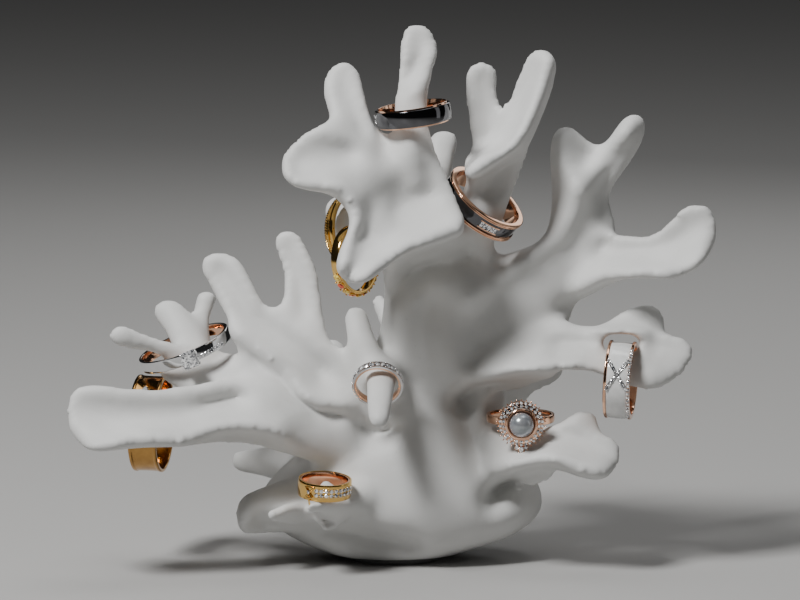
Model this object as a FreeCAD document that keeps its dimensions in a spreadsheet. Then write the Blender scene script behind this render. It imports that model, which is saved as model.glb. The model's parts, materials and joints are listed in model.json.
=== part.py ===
import FreeCAD, Part
import math
import os
import Sketcher
from FreeCAD import Placement, Rotation, Vector

# Ring tree: a branching coral of matt white porcelain on a felt pad, dressed with ten finger rings.
# X runs across the tree, -Y is its front and Z is up. The origin is the middle of the foot's flat face.

doc = FreeCAD.newDocument("ring_tree")
sheet = doc.addObject("Spreadsheet::Sheet", "sizes")
SIZES = {
    # the coral
    "tree_width": 180.0,
    "tree_height": 151.5,
    "tree_depth": 115.0,
    "frond_thickness": 5.6,
    "felt_thickness": 1.5,
    "felt_length": 27.0,
    "felt_breadth": 25.0,
    "slot_length": 14.0,
    "slot_height": 5.6,
    "seat_gap": 0.3,
    # a two-tone band round the leaf
    "two_tone_bore": 18.6,
    "two_tone_width": 5.4,
    "two_tone_liner_wall": 0.5,
    "two_tone_outer_wall": 0.9,
    # a band with two raised rails and an inlaid face
    "rail_bore": 20.8,
    "rail_width": 5.6,
    "rail_wall": 1.1,
    "rail_height": 0.8,
    "rail_breadth": 1.1,
    "rail_inlay_wall": 0.4,
    # a solitaire with a row of small stones down one shoulder
    "solitaire_bore": 24.4,
    "solitaire_width": 3.4,
    "solitaire_wall": 1.2,
    "solitaire_stone_size": 5.0,
    "solitaire_stone_depth": 3.0,
    "solitaire_prong": 0.8,
    "solitaire_row_wall": 0.5,
    # a broad hoop with a small stone
    "hoop_bore": 25.0,
    "hoop_width": 8.0,
    "hoop_wall": 1.1,
    "hoop_stone_size": 2.6,
    "hoop_stone_height": 1.0,
    # a crossover ring of two wires
    "crossover_bore": 17.0,
    "crossover_wire": 1.7,
    # a ring set with yellow stones
    "amber_bore": 17.2,
    "amber_width": 3.0,
    "amber_wall": 1.2,
    "amber_stone_size": 2.0,
    # an eternity ring
    "eternity_bore": 11.8,
    "eternity_width": 2.2,
    "eternity_wall": 0.8,
    "eternity_stone_size": 1.5,
    # a ring with a claw below its stones
    "claw_bore": 12.8,
    "claw_width": 3.2,
    "claw_wall": 1.1,
    "claw_stone_size": 1.5,
    # a ring with a pearl in a halo
    "pearl_bore": 17.0,
    "pearl_width": 2.2,
    "pearl_wall": 1.1,
    "pearl_size": 6.8,
    "pearl_cup_size": 8.6,
    "pearl_halo_size": 12.6,
    "pearl_halo_thickness": 1.2,
    # a broad band with crossed strands of stones
    "cross_bore": 18.6,
    "cross_width": 7.4,
    "cross_wall": 1.0,
    "cross_rim": 0.9,
    "cross_rim_height": 0.5,
    "cross_panel_wall": 0.4,
}
for row, (alias, value) in enumerate(SIZES.items(), start=1):
    sheet.set("A%d" % row, alias)
    sheet.set("B%d" % row, str(value))
    sheet.setAlias("B%d" % row, alias)
doc.recompute()


def size(alias):
    return float(sheet.get(alias))


# The tree was measured on a photograph: its foot's middle, its extent, and a frond's usual thickness there.
FOOT_COLUMN_PIXELS = 395
FOOT_ROW_PIXELS = 563
TREE_WIDTH_PIXELS = 643
TREE_HEIGHT_PIXELS = 541
TREE_DEPTH_PIXELS = 411
FROND_THICKNESS_PIXELS = 20
LEAN_SHARE = 0.14          # how much higher a point sits than it looks, for each unit that it comes out
ROUND_STEPS = 12           # control points round one section of a frond
TIP_ROUND_SHARE = 0.55     # where the round of a tip leaves the frond's side
TIP_BREADTH_SHARE = 0.4    # how far a tip runs on, of the limb's breadth there
TIP_THICK_SHARE = 0.35     # and of its half thickness


def place(column, line, out):
    """The point of the tree at a column and line of the photograph, and so far out toward its front."""
    outward = out * size("tree_depth") / TREE_DEPTH_PIXELS
    return Vector((column - FOOT_COLUMN_PIXELS) * size("tree_width") / TREE_WIDTH_PIXELS, -outward,
                  (FOOT_ROW_PIXELS - line) * size("tree_height") / TREE_HEIGHT_PIXELS + outward * LEAN_SHARE)


def thick(pixels):
    return pixels * size("frond_thickness") / FROND_THICKNESS_PIXELS


def closed_skin(rows):
    """A solid inside one smooth closed surface; rows are rings of control points from pole to pole."""
    surface = Part.BSplineSurface()
    inner = len(rows) - 4
    count = len(rows[0])
    surface.buildFromPolesMultsKnots(
        rows, [4] + [1] * inner + [4], [1] * (count + 1),
        [float(k) for k in range(inner + 2)], [float(k) for k in range(count + 1)],
        False, True, 3, 3)
    halves = []
    for first, last in ((0, count // 2), (count // 2, count)):
        half = surface.copy()
        half.segment(0, inner + 1, first, last)
        halves.append(half.toShape())
    shell = Part.Shell(halves)
    shell.sewShape()
    solid = Part.Solid(shell)
    if solid.Volume < 0:
        solid.reverse()
    return solid


def section(left, right, along, half_thick, cup, swell=1.0):
    """Control points round a limb between its two edges; cup dishes its front face."""
    centre = (left + right) / 2
    wide = (right - left) / 2 * swell
    normal = wide.cross(along).normalize()
    grow = 3.0 / (2.0 + math.cos(2 * math.pi / ROUND_STEPS))
    points = []
    for step in range(ROUND_STEPS):
        angle = 2 * math.pi * step / ROUND_STEPS
        through = swell * (half_thick * math.sin(angle) * grow + cup * (math.cos(angle) ** 2 - 0.5))
        points.append(centre + wide * math.cos(angle) * grow + normal * through)
    return points


def strip(stations):
    """A limb through stations of (left edge, right edge, half thickness, cup), with round tips."""
    edges = [(place(*row[0]), place(*row[1])) for row in stations]
    centres = [(left + right) / 2 for left, right in edges]
    last = len(stations) - 1
    rows = []
    for number, row in enumerate(stations):
        along = (centres[min(number + 1, last)] - centres[max(number - 1, 0)]).normalize()
        half_thick = thick(row[2])
        cup = thick(row[3] if len(row) > 3 else 0)
        left, right = edges[number]
        whole = section(left, right, along, half_thick, cup)
        if number in (0, last):
            way = along if number else along * -1
            far = way * ((right - left).Length * TIP_BREADTH_SHARE + half_thick * TIP_THICK_SHARE)
            near = far * TIP_ROUND_SHARE
            tip = [section(left + near, right + near, along, half_thick, cup),
                   section(left + far, right + far, along, half_thick, cup, TIP_ROUND_SHARE),
                   [centres[number] + far] * ROUND_STEPS]
        if number == 0:
            rows += tip[::-1]
        rows.append(whole)
        if number == last:
            rows += tip
    return closed_skin(rows)


PALM_INNER_SHARE = 0.3
PALM_OUTER_SHARE = 0.65
RIM_STEP_SHARE = 1.2
RIM_ROUND_SHARE = 0.6
RIM_LEAST_SHARE = 0.75
RIM_STIFFNESS = 6          # how little a rim's control point is pushed out past the outline's own point


def palm(centre, middle_thick, rim_thick, outline):
    """A broad dished plate about its centre, with a rounded rim through the points of its outline."""
    middle = place(*centre)
    rim = [place(*row) for row in outline]
    count = len(rim)
    normal = Vector()
    for number in range(count):
        normal += (rim[number - 1] - middle).cross(rim[number] - middle)
    normal.normalize()
    rim = [point + (point * 2 - rim[number - 1] - rim[(number + 1) % count]) / RIM_STIFFNESS
           for number, point in enumerate(rim)]
    middle_thick = thick(middle_thick)
    rim_thick = thick(rim_thick)
    step_in = rim_thick * RIM_STEP_SHARE

    def ring(share, level_share, lift):
        points = []
        for point in rim:
            ray = point - middle
            level = ray.dot(normal)
            flat = ray - normal * level
            reach = share if share else max(1 - step_in / flat.Length, RIM_LEAST_SHARE)
            rise = level * (level_share if level_share is not None else reach * reach)
            points.append(middle + flat * reach + normal * (rise + lift))
        return points

    half = []
    for side in (1, -1):
        half.append([
            [middle + normal * middle_thick * side] * count,
            ring(PALM_INNER_SHARE, 0, middle_thick * side),
            ring(PALM_OUTER_SHARE, None, (middle_thick + rim_thick) / 2 * side),
            ring(None, None, rim_thick * side),
            ring(1.0, None, rim_thick * RIM_ROUND_SHARE * side)])
    return closed_skin(half[0] + half[1][::-1])


# Each frond: the limbs and palms that make it, in photograph pixels, and the fronds it butts against.
FROND_PIXELS = {
    "trunk": ([], [
        (strip, [
            ((345, 585, 0), (445, 585, 0), 50),
            ((342, 563, 0), (448, 563, 0), 50),
            ((308, 548, 0), (478, 550, 0), 66),
            ((272, 526, 0), (532, 530, 0), 78),
            ((256, 500, 0), (549, 503, 0), 84),
            ((290, 468, 0), (525, 470, 0), 76),
            ((335, 430, 0), (495, 430, 0), 62),
            ((365, 385, 0), (495, 385, 0), 50),
            ((385, 335, 0), (505, 335, 0), 42),
            ((388, 292, 12), (495, 285, 5), 36),
            ((385, 260, 42), (478, 252, 28), 28),
            ((385, 232, 70), (460, 226, 58), 22),
            ((390, 212, 68), (446, 208, 62), 14)])]),
    "right_limb": (["trunk"], [
        (strip, [
            ((420, 350, 0), (450, 430, 0), 34),
            ((455, 290, 0), (515, 375, 10), 32),
            ((500, 258, 0), (560, 322, 8), 24),
            ((525, 250, 0), (578, 298, 8), 19)])]),
    "top_fan": (["trunk"], [
        (palm, (385, 190, 88), 13, 9, [
            (465, 231, 85), (455, 195, 75), (440, 165, 68), (430, 141, 58), (426, 134, 58), (408, 137, 56),
            (391, 137, 50), (374, 127, 40), (365, 110, 32), (361, 92, 29), (357, 72, 28), (345, 64, 28), (332, 71, 32),
            (326, 88, 40), (330, 104, 52), (334, 119, 64), (322, 130, 85), (303, 140, 92),
            (288, 156, 98), (285, 170, 100), (292, 183, 103), (308, 188, 106), (325, 191, 108), (341, 200, 110),
            (351, 216, 115), (350, 235, 126), (342, 257, 145), (342, 275, 161), (353, 284, 168), (368, 282, 162),
            (384, 271, 147), (399, 259, 130), (416, 250, 115), (434, 246, 105), (452, 241, 95)])]),
    "top_leaf": (["top_fan"], [
        (strip, [
            ((395, 138, 68), (428, 138, 62), 10),
            ((395, 112, 58), (426, 112, 53), 9),
            ((398, 86, 46), (433, 84, 40), 8, 4),
            ((400, 62, 36), (438, 60, 32), 8, 6),
            ((403, 43, 28), (431, 41, 26), 7, 4)])]),
    "folded_frond": (["trunk", "top_fan", "right_limb"], [
        (palm, (504, 150, 15), 11, 8, [
            (466, 178, 60), (463, 162, 20), (476, 148, 0), (478, 125, -6), (490, 108, -4), (503, 113, 0),
            (511, 104, 0), (517, 86, 0), (523, 65, 0), (534, 52, 0), (550, 53, 5), (554, 66, 8), (549, 84, 14),
            (540, 106, 22), (530, 130, 40), (512, 152, 58), (488, 159, 70), (472, 168, 74)]),
        (strip, [
            ((478, 165, -2), (505, 150, 5), 10),
            ((472, 130, -7), (501, 125, -3), 9, 3),
            ((467, 96, -8), (497, 96, -6), 9, 3),
            ((468, 80, -8), (497, 79, -8), 9, 3)]),
        (strip, [
            ((425, 300, 10), (480, 300, 10), 24),
            ((440, 250, 20), (500, 238, 10), 20),
            ((462, 205, 34), (507, 200, 18), 14),
            ((466, 178, 40), (524, 165, 22), 11, 4)])]),
    "back_stub": (["trunk", "top_fan", "folded_frond"], [
        (strip, [
            ((418, 225, 10), (454, 225, 10), 14),
            ((427, 178, -30), (450, 176, -32), 9),
            ((430, 146, -48), (457, 146, -50), 9, 4)])]),
    "forked_branch": (["right_limb"], [
        (palm, (582, 190, 0), 14, 10, [
            (540, 262, 0), (549, 235, 0), (554, 205, 0), (552, 170, -2), (552, 144, -4), (561, 129, -5),
            (574, 131, -5), (590, 144, -5), (602, 148, -5), (611, 142, -6), (625, 120, -8), (635, 115, -10),
            (645, 119, -10), (644, 136, -8), (630, 162, -4), (613, 186, 0), (608, 207, 0), (617, 232, 0),
            (600, 270, 5), (570, 285, 5), (545, 282, 5)])]),
    "hook_branch": (["right_limb", "forked_branch"], [
        (palm, (655, 256, 38), 11, 8, [
            (545, 285, 5), (565, 252, 5), (595, 239, 15), (620, 236, 25), (642, 240, 32), (662, 233, 36),
            (680, 213, 40), (695, 205, 44), (709, 211, 46), (715, 230, 50), (710, 249, 55), (696, 265, 60),
            (675, 277, 62), (645, 278, 58), (620, 277, 50), (595, 288, 35), (570, 304, 20), (550, 305, 10)])]),
    "upper_right_fan": (["trunk", "right_limb"], [
        (palm, (580, 350, 50), 11, 8, [
            (470, 345, 10), (520, 330, 15), (555, 330, 20), (585, 334, 22), (608, 329, 22), (626, 317, 22),
            (643, 310, 22), (657, 309, 22), (665, 320, 25), (664, 335, 35), (672, 343, 42), (685, 343, 45),
            (693, 352, 50), (689, 365, 62), (676, 379, 72), (657, 389, 78), (636, 389, 80), (613, 380, 79),
            (590, 369, 79), (565, 365, 76), (530, 365, 68), (504, 367, 60), (480, 375, 40)]),
        (strip, [
            ((430, 340, 0), (445, 410, 0), 26),
            ((480, 333, 8), (495, 395, 35), 24),
            ((520, 332, 18), (540, 380, 48), 15)])]),
    "lower_right_fan": (["trunk"], [
        (palm, (555, 452, 78), 11, 8, [
            (480, 440, 40), (515, 432, 45), (541, 430, 52), (558, 426, 55), (574, 417, 55), (588, 412, 55),
            (597, 415, 50), (601, 427, 56), (602, 440, 66), (613, 443, 72), (620, 451, 78), (618, 465, 88),
            (605, 477, 94), (589, 479, 98), (571, 472, 100), (552, 468, 100), (530, 468, 96), (505, 474, 85),
            (482, 470, 60)]),
        (strip, [
            ((430, 425, 0), (445, 495, 0), 28),
            ((480, 430, 25), (505, 498, 45), 22),
            ((515, 434, 42), (538, 486, 68), 13)])]),
    "front_stub": (["trunk"], [
        (strip, [
            ((356, 394, 28), (412, 388, 28), 25),
            ((366, 372, 70), (400, 371, 70), 13),
            ((367, 391, 98), (397, 391, 98), 12),
            ((368, 409, 122), (395, 409, 122), 11),
            ((371, 420, 136), (392, 420, 136), 9)])]),
    "tall_finger": (["trunk", "front_stub"], [
        (strip, [
            ((372, 420, 40), (412, 412, 40), 14),
            ((358, 375, 50), (388, 368, 50), 12),
            ((350, 342, 38), (373, 336, 38), 11),
            ((347, 322, 25), (369, 320, 25), 10)])]),
    "slim_finger": (["trunk"], [
        (strip, [
            ((395, 375, -20), (425, 370, -20), 14),
            ((385, 330, -50), (403, 328, -50), 9),
            ((373, 307, -65), (389, 304, -65), 8)])]),
    "left_frond": (["trunk", "tall_finger", "front_stub"], [
        (strip, [
            ((335, 440, 10), (420, 370, 10), 26),
            ((300, 405, 45), (355, 365, 30), 19, 4),
            ((262, 368, 50), (325, 342, 30), 14, 6),
            ((238, 350, 45), (318, 330, 22), 12, 6)]),
        (strip, [
            ((238, 352, 45), (285, 345, 30), 11, 4),
            ((226, 312, 25), (262, 306, 20), 11, 3),
            ((214, 290, 12), (253, 283, 12), 11, 2),
            ((206, 276, 6), (246, 272, 8), 11, 2)]),
        (strip, [
            ((280, 350, 35), (330, 345, 25), 11, 3),
            ((286, 300, 12), (321, 305, 10), 10, 4),
            ((285, 272, 2), (320, 272, 2), 9, 4),
            ((278, 249, -5), (306, 250, -5), 9, 3)])]),
    "left_arm": (["trunk", "left_frond", "front_stub", "tall_finger"], [
        (strip, [
            ((370, 480, 20), (395, 390, 15), 30),
            ((305, 462, 72), (310, 388, 45), 22, 4),
            ((250, 440, 98), (235, 380, 60), 15, 5),
            ((185, 447, 122), (170, 395, 90), 12, 5),
            ((140, 447, 132), (130, 392, 103), 12, 5),
            ((108, 450, 132), (102, 386, 108), 12, 4)])]),
    "left_cluster": (["left_arm", "left_frond"], [
        (strip, [
            ((285, 435, 60), (270, 360, 30), 18),
            ((215, 405, 55), (240, 358, 20), 13, 3),
            ((174, 386, 50), (223, 358, 8), 11, 3)]),
        (strip, [
            ((200, 388, 42), (206, 358, 38), 9),
            ((170, 360, 42), (175, 342, 40), 7),
            ((138, 352, 50), (145, 337, 50), 7),
            ((119, 345, 58), (127, 331, 58), 7)]),
        (strip, [
            ((184, 370, 30), (213, 356, 24), 9),
            ((168, 334, 8), (196, 326, 8), 8),
            ((158, 319, -4), (185, 313, -4), 8)]),
        (strip, [
            ((188, 370, 18), (211, 361, 12), 9),
            ((193, 326, -6), (211, 323, -6), 8),
            ((198, 304, -18), (215, 303, -18), 8)])]),
    "arm_hook": (["left_arm", "left_cluster"], [
        (strip, [
            ((225, 425, 75), (225, 400, 65), 13),
            ((196, 428, 48), (190, 404, 44), 8),
            ((172, 414, 26), (164, 399, 24), 6),
            ((162, 400, 14), (144, 398, 12), 5),
            ((159, 391, 10), (143, 390, 8), 5)])]),
    "left_lobes": (["trunk"], [
        (strip, [
            ((350, 535, 20), (350, 465, 20), 36),
            ((290, 534, 55), (285, 484, 40), 19, 4),
            ((262, 537, 64), (256, 495, 55), 12)]),
        (strip, [
            ((320, 530, 40), (320, 500, 40), 24),
            ((290, 525, 90), (286, 509, 90), 10),
            ((278, 524, 100), (274, 512, 100), 8)])]),
    "front_lobe": (["trunk"], [
        (strip, [
            ((375, 525, 50), (370, 480, 50), 28),
            ((345, 512, 103), (338, 493, 95), 13, 3),
            ((318, 513, 133), (311, 503, 128), 9, 3)])]),
    "back_top_fan": (["trunk"], [
        (palm, (400, 195, -75), 12, 9, [
            (450, 262, -25), (462, 225, -45), (452, 190, -62), (455, 160, -80), (440, 148, -90),
            (424, 160, -90), (412, 178, -90), (396, 166, -100), (384, 140, -112), (366, 134, -118),
            (354, 150, -116), (358, 176, -106), (350, 196, -100), (330, 200, -100), (325, 218, -94),
            (342, 232, -84), (366, 238, -70), (392, 262, -40), (405, 285, -10), (440, 290, 0)])]),
    "back_left_fan": (["trunk"], [
        (palm, (318, 392, -72), 12, 9, [
            (375, 440, -20), (345, 448, -35), (318, 440, -58), (292, 446, -78), (272, 436, -92),
            (272, 418, -98), (288, 404, -96), (268, 388, -104), (258, 368, -110), (270, 352, -112),
            (290, 356, -106), (306, 366, -98), (318, 350, -100), (334, 342, -100), (348, 352, -92),
            (352, 370, -78), (375, 372, -50), (400, 380, -20)])]),
    "back_right_fan": (["trunk", "right_limb"], [
        (palm, (530, 350, -70), 12, 9, [
            (470, 400, -15), (500, 405, -40), (525, 396, -62), (548, 392, -82), (566, 378, -96),
            (562, 362, -98), (570, 345, -98), (562, 328, -98), (545, 322, -94), (536, 308, -94),
            (520, 300, -92), (506, 310, -84), (500, 326, -66), (478, 330, -40), (455, 345, -10)])]),
    "back_low_fan": (["trunk"], [
        (palm, (430, 450, -128), 13, 9, [
            (390, 520, -60), (378, 500, -85), (366, 480, -108), (350, 462, -125), (346, 442, -136),
            (360, 428, -142), (380, 434, -138), (398, 424, -144), (402, 408, -152), (418, 400, -155),
            (430, 412, -152), (438, 428, -148), (456, 420, -148), (474, 426, -142), (476, 446, -134),
            (464, 466, -122), (478, 488, -100), (478, 505, -80), (450, 525, -55)])]),
    "hidden_finger": (["trunk", "top_fan"], [
        (strip, [
            ((400, 262, 36), (400, 230, 36), 13),
            ((374, 226, 48), (364, 196, 48), 9),
            ((354, 230, 56), (340, 205, 56), 7),
            ((349, 239, 60), (334, 222, 60), 6)])]),
    "fan_hook": (["trunk", "top_fan", "hidden_finger"], [
        (strip, [
            ((399, 248, 128), (398, 228, 122), 9),
            ((376, 245, 113), (373, 232, 109), 6),
            ((352, 244, 90), (350, 232, 87), 5)])]),
    "fan_peg": (["trunk", "lower_right_fan"], [
        (strip, [
            ((508, 458, 48), (532, 458, 48), 11),
            ((510, 436, 46), (530, 436, 46), 9),
            ((512, 416, 44), (528, 416, 44), 7)])]),
    "lobe_peg": (["trunk", "left_lobes", "front_lobe"], [
        (strip, [
            ((318, 520, 92), (342, 520, 90), 12),
            ((319, 500, 92), (337, 499, 90), 10),
            ((320, 488, 92), (335, 487, 90), 8)])]),
    "back_lobe": (["trunk"], [
        (strip, [
            ((325, 500, -40), (325, 445, -40), 28),
            ((270, 482, -90), (265, 455, -90), 12),
            ((242, 478, -108), (238, 459, -108), 10)])]),
}


# The middle of the slot behind one fan's rim, which a band is threaded through.
SLOT_MIDDLE_PIXELS = (622, 345, 50)
SLOT_CORNER_SHARE = 0.3
SLOT_THROUGH_SHARE = 0.25  # of the tree's depth


def make_slot():
    """A long round-cornered hole straight through the fan, wide enough for the band and its swing."""
    length, height = size("slot_length"), size("slot_height")
    through = size("tree_depth") * SLOT_THROUGH_SHARE
    box = Part.makeBox(length, through, height, Vector(-length / 2, -through / 2, -height / 2))
    upright = [edge for edge in box.Edges if abs(edge.tangentAt(0).y) > 0.9]
    slot = box.makeFillet(height * SLOT_CORNER_SHARE, upright)
    slot.translate(place(*SLOT_MIDDLE_PIXELS))
    return slot


def make_coral():
    """The fronds of the casting line, each cut back where it meets a frond made before it."""
    reach = size("tree_depth")
    below = Part.makeBox(reach * 2, reach * 2, reach, Vector(-reach, -reach, size("felt_thickness") - reach))
    shapes = {}
    for name, (neighbours, pieces) in FROND_PIXELS.items():
        solids = [maker(*details) for maker, *details in pieces]
        shape = solids[0].multiFuse(solids[1:]) if len(solids) > 1 else solids[0]
        tools = [shapes[other] for other in neighbours] or [below]
        if name == "upper_right_fan":
            tools.append(make_slot())
        shapes[name] = max(shape.cut(tools).Solids, key=lambda solid: solid.Volume)
    fronds = []
    for name, shape in shapes.items():
        frond = doc.addObject("Part::Feature", name)
        frond.Label = name
        frond.Shape = shape
        frond.Placement = Placement()
        fronds.append(frond)
    return fronds


def make_felt():
    """The oval pad that the trunk's foot stands on."""
    oval = doc.addObject("Part::Ellipse", "felt_outline")
    oval.setExpression("MajorRadius", "sizes.felt_length / 2")
    oval.setExpression("MinorRadius", "sizes.felt_breadth / 2")
    pad = doc.addObject("Part::Extrusion", "felt_pad")
    pad.Base = oval
    pad.DirMode = "Custom"
    pad.Dir = Vector(0, 0, 1)
    pad.Solid = True
    pad.setExpression("LengthFwd", "sizes.felt_thickness")
    pad.Label = "felt_pad"
    return pad


# Bodies for the rings. Each is built about its own Z axis, its lower edge at zero and its setting toward X.

def total(terms):
    """The length that a list of (share, size name) pairs adds up to."""
    return sum(share * size(alias) for share, alias in terms)


def formula(terms):
    """The same sum as an expression on the sheet, so that the feature follows its sizes."""
    return " + ".join("sizes.%s * %s" % (alias, share) for share, alias in terms)


def less(terms, taken):
    return list(terms) + [(-share, alias) for share, alias in taken]


def part_of(share, terms):
    return [(share * each, alias) for each, alias in terms]


def new_body(name):
    body = doc.addObject("PartDesign::Body", name)
    body.Label = name
    return body


def origin_feature(body, role):
    return [feature for feature in body.Origin.OriginFeatures if feature.Role == role][0]


def new_sketch(body, name, plane, offset=None):
    sketch = body.newObject("Sketcher::SketchObject", name)
    sketch.AttachmentSupport = [(origin_feature(body, plane), "")]
    sketch.MapMode = "FlatFace"
    if offset:
        sketch.setExpression("AttachmentOffset.Base.z", formula(offset))
    return sketch


def pin(sketch, geometry, point, across, up):
    """Hold a point of the sketch at distances across and up from its origin."""
    for kind, terms, axis in (("DistanceX", across, -2), ("DistanceY", up, -1)):
        if terms:
            number = sketch.addConstraint(Sketcher.Constraint(kind, -1, 1, geometry, point, total(terms)))
            sketch.setExpression("Constraints[%d]" % number, formula(terms))
        else:
            sketch.addConstraint(Sketcher.Constraint("PointOnObject", geometry, point, axis))


def corner_sketch(body, name, plane, corners, offset=None):
    """A closed outline of straight lines; each corner is its terms across and its terms up."""
    sketch = new_sketch(body, name, plane, offset)
    points = [Vector(total(across), total(up), 0) for across, up in corners]
    count = len(points)
    for number, point in enumerate(points):
        sketch.addGeometry(Part.LineSegment(point, points[(number + 1) % count]))
    for number in range(count):
        sketch.addConstraint(Sketcher.Constraint("Coincident", number, 2, (number + 1) % count, 1))
        pin(sketch, number, 1, *corners[number])
    return sketch


def circle_sketch(body, name, plane, centres, radius, offset=None):
    sketch = new_sketch(body, name, plane, offset)
    for number, (across, up) in enumerate(centres):
        middle = Vector(total(across), total(up), 0)
        sketch.addGeometry(Part.Circle(middle, Vector(0, 0, 1), total(radius)))
        rule = sketch.addConstraint(Sketcher.Constraint("Radius", number, total(radius)))
        sketch.setExpression("Constraints[%d]" % rule, formula(radius))
        pin(sketch, number, 3, across, up)
    return sketch


def turned(body, name, sketch, angle=360, kind="PartDesign::Revolution"):
    feature = body.newObject(kind, name)
    feature.Profile = sketch
    feature.ReferenceAxis = (sketch, ["V_Axis"])
    feature.Angle = angle
    feature.Midplane = angle < 360
    return feature


def raised(body, name, sketch, length, reverse=False):
    feature = body.newObject("PartDesign::Pad", name)
    feature.Profile = sketch
    feature.setExpression("Length", formula(length))
    feature.Reversed = reverse
    return feature


def round_copies(body, name, original, angle, count):
    pattern = body.newObject("PartDesign::PolarPattern", name)
    pattern.Originals = [original]
    pattern.Axis = (origin_feature(body, "Z_Axis"), [""])
    pattern.Angle = angle
    pattern.Occurrences = count
    body.Tip = pattern


BEVEL_SHARE = 0.25         # how far a band's outer edges are bevelled, of its wall
INLAY_BEVEL_SHARE = 0.3
LINER_BEVEL_SHARE = 0.2


def band(name, inside, wall, width, base=(), bevel_share=BEVEL_SHARE, angle=360):
    """A band round the bore called inside, its outer edges bevelled, standing on its lower edge."""
    bevel = part_of(bevel_share, wall)
    outside = inside + wall
    shoulder = less(outside, bevel)
    low = list(base)
    high = low + width
    body = new_body(name)
    corners = [(inside, low), (shoulder, low), (outside, low + bevel),
               (outside, less(high, bevel)), (shoulder, high), (inside, high)]
    turned(body, name + "_turn", corner_sketch(body, name + "_outline", "XZ_Plane", corners), angle)
    return body


def railed_band(name, inside, wall, rail, breadth, width, angle=360):
    """A band with a raised rail along each edge."""
    floor = inside + wall
    top = floor + rail
    body = new_body(name)
    corners = [(inside, []), (top, []), (top, breadth), (floor, breadth), (floor, less(width, breadth)),
               (top, less(width, breadth)), (top, width), (inside, width)]
    turned(body, name + "_turn", corner_sketch(body, name + "_outline", "XZ_Plane", corners), angle)
    return body


ROW_HALF_SHARE = 0.42      # half the breadth of a row's strip, of one stone
ROW_STONE_SHARE = 0.44     # a stone's radius in its row
ROW_FOOT_SHARE = 0.25      # the strip under the stones
ROW_RISE_SHARE = 0.5       # how far the stones stand above the strip's foot


def stone_row(name, floor, stone, middle, angle, count):
    """A row of round stones on one thin curved strip that lies on a band's outside."""
    body = new_body(name)
    half = part_of(ROW_HALF_SHARE, stone)
    foot = part_of(ROW_FOOT_SHARE, stone)
    low, high = less(middle, half), middle + half
    corners = [(floor, low), (floor + foot, low), (floor + foot, high), (floor, high)]
    strip_turn = turned(body, name + "_strip", corner_sketch(body, name + "_outline", "XZ_Plane", corners), angle)
    strip_turn.Midplane = False
    sketch = circle_sketch(body, name + "_round", "YZ_Plane", [([], middle)],
                           part_of(ROW_STONE_SHARE, stone), floor + part_of(0.5, foot))
    first = raised(body, name + "_stone", sketch, part_of(ROW_RISE_SHARE, stone))
    round_copies(body, name + "_stones", first, angle, count)
    return body


GIRDLE_SHARE = 0.62
GIRDLE_TOP_SHARE = 0.7
TABLE_SHARE = 0.55


def cut_stone(name, across, depth):
    """A brilliant standing on its point, turned about its own axis."""
    body = new_body(name)
    corners = [([], []), (part_of(0.5, across), part_of(GIRDLE_SHARE, depth)),
               (part_of(0.5, across), part_of(GIRDLE_TOP_SHARE, depth)),
               (part_of(0.5 * TABLE_SHARE, across), depth), ([], depth)]
    turned(body, name + "_turn", corner_sketch(body, name + "_outline", "XZ_Plane", corners))
    return body


def terms(share, alias):
    return [(share, alias)]


def outward(distance, height):
    """The place of a piece whose own Z axis points along the ring's X axis."""
    return Placement(Vector(distance, 0, height), Rotation(Vector(0, 1, 0), 90))


def round_by(angle):
    return Placement(Vector(), Rotation(Vector(0, 0, 1), angle))


# The outer band of the two-tone ring: its width and its step in from the liner's edge, of the liner's width,
# and its bevel, of its wall.
OUTER_WIDTH_SHARE = 0.84
OUTER_STEP_SHARE = 0.12
OUTER_BEVEL_SHARE = 0.45


def make_two_tone():
    inside, liner = terms(0.5, "two_tone_bore"), terms(1, "two_tone_liner_wall")
    return [
        (band("two_tone_liner", inside, liner, terms(1, "two_tone_width"), (), LINER_BEVEL_SHARE), Placement()),
        (band("two_tone_band", inside + liner, terms(1, "two_tone_outer_wall"),
              terms(OUTER_WIDTH_SHARE, "two_tone_width"), terms(OUTER_STEP_SHARE, "two_tone_width"),
              OUTER_BEVEL_SHARE), Placement())]


def make_rail():
    inside, wall = terms(0.5, "rail_bore"), terms(1, "rail_wall")
    breadth, width = terms(1, "rail_breadth"), terms(1, "rail_width")
    return [
        (railed_band("rail_band", inside, wall, terms(1, "rail_height"), breadth, width), Placement()),
        (band("rail_inlay", inside + wall, terms(1, "rail_inlay_wall"),
              less(width, part_of(2, breadth)), breadth, INLAY_BEVEL_SHARE), Placement())]


# The setting's parts, of the stone's size across and of its depth.
SETTING_SHARES = {"cup": 0.32, "cup_height": 0.25, "plate": 0.36, "plate_height": 0.16, "prong_height": 1.1,
                  "lift": 0.27, "stone": 0.8, "stone_depth": 0.85}
ROW_WIDTH_SHARE = 0.45     # the small stones of the shoulder, of the band's width


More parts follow.
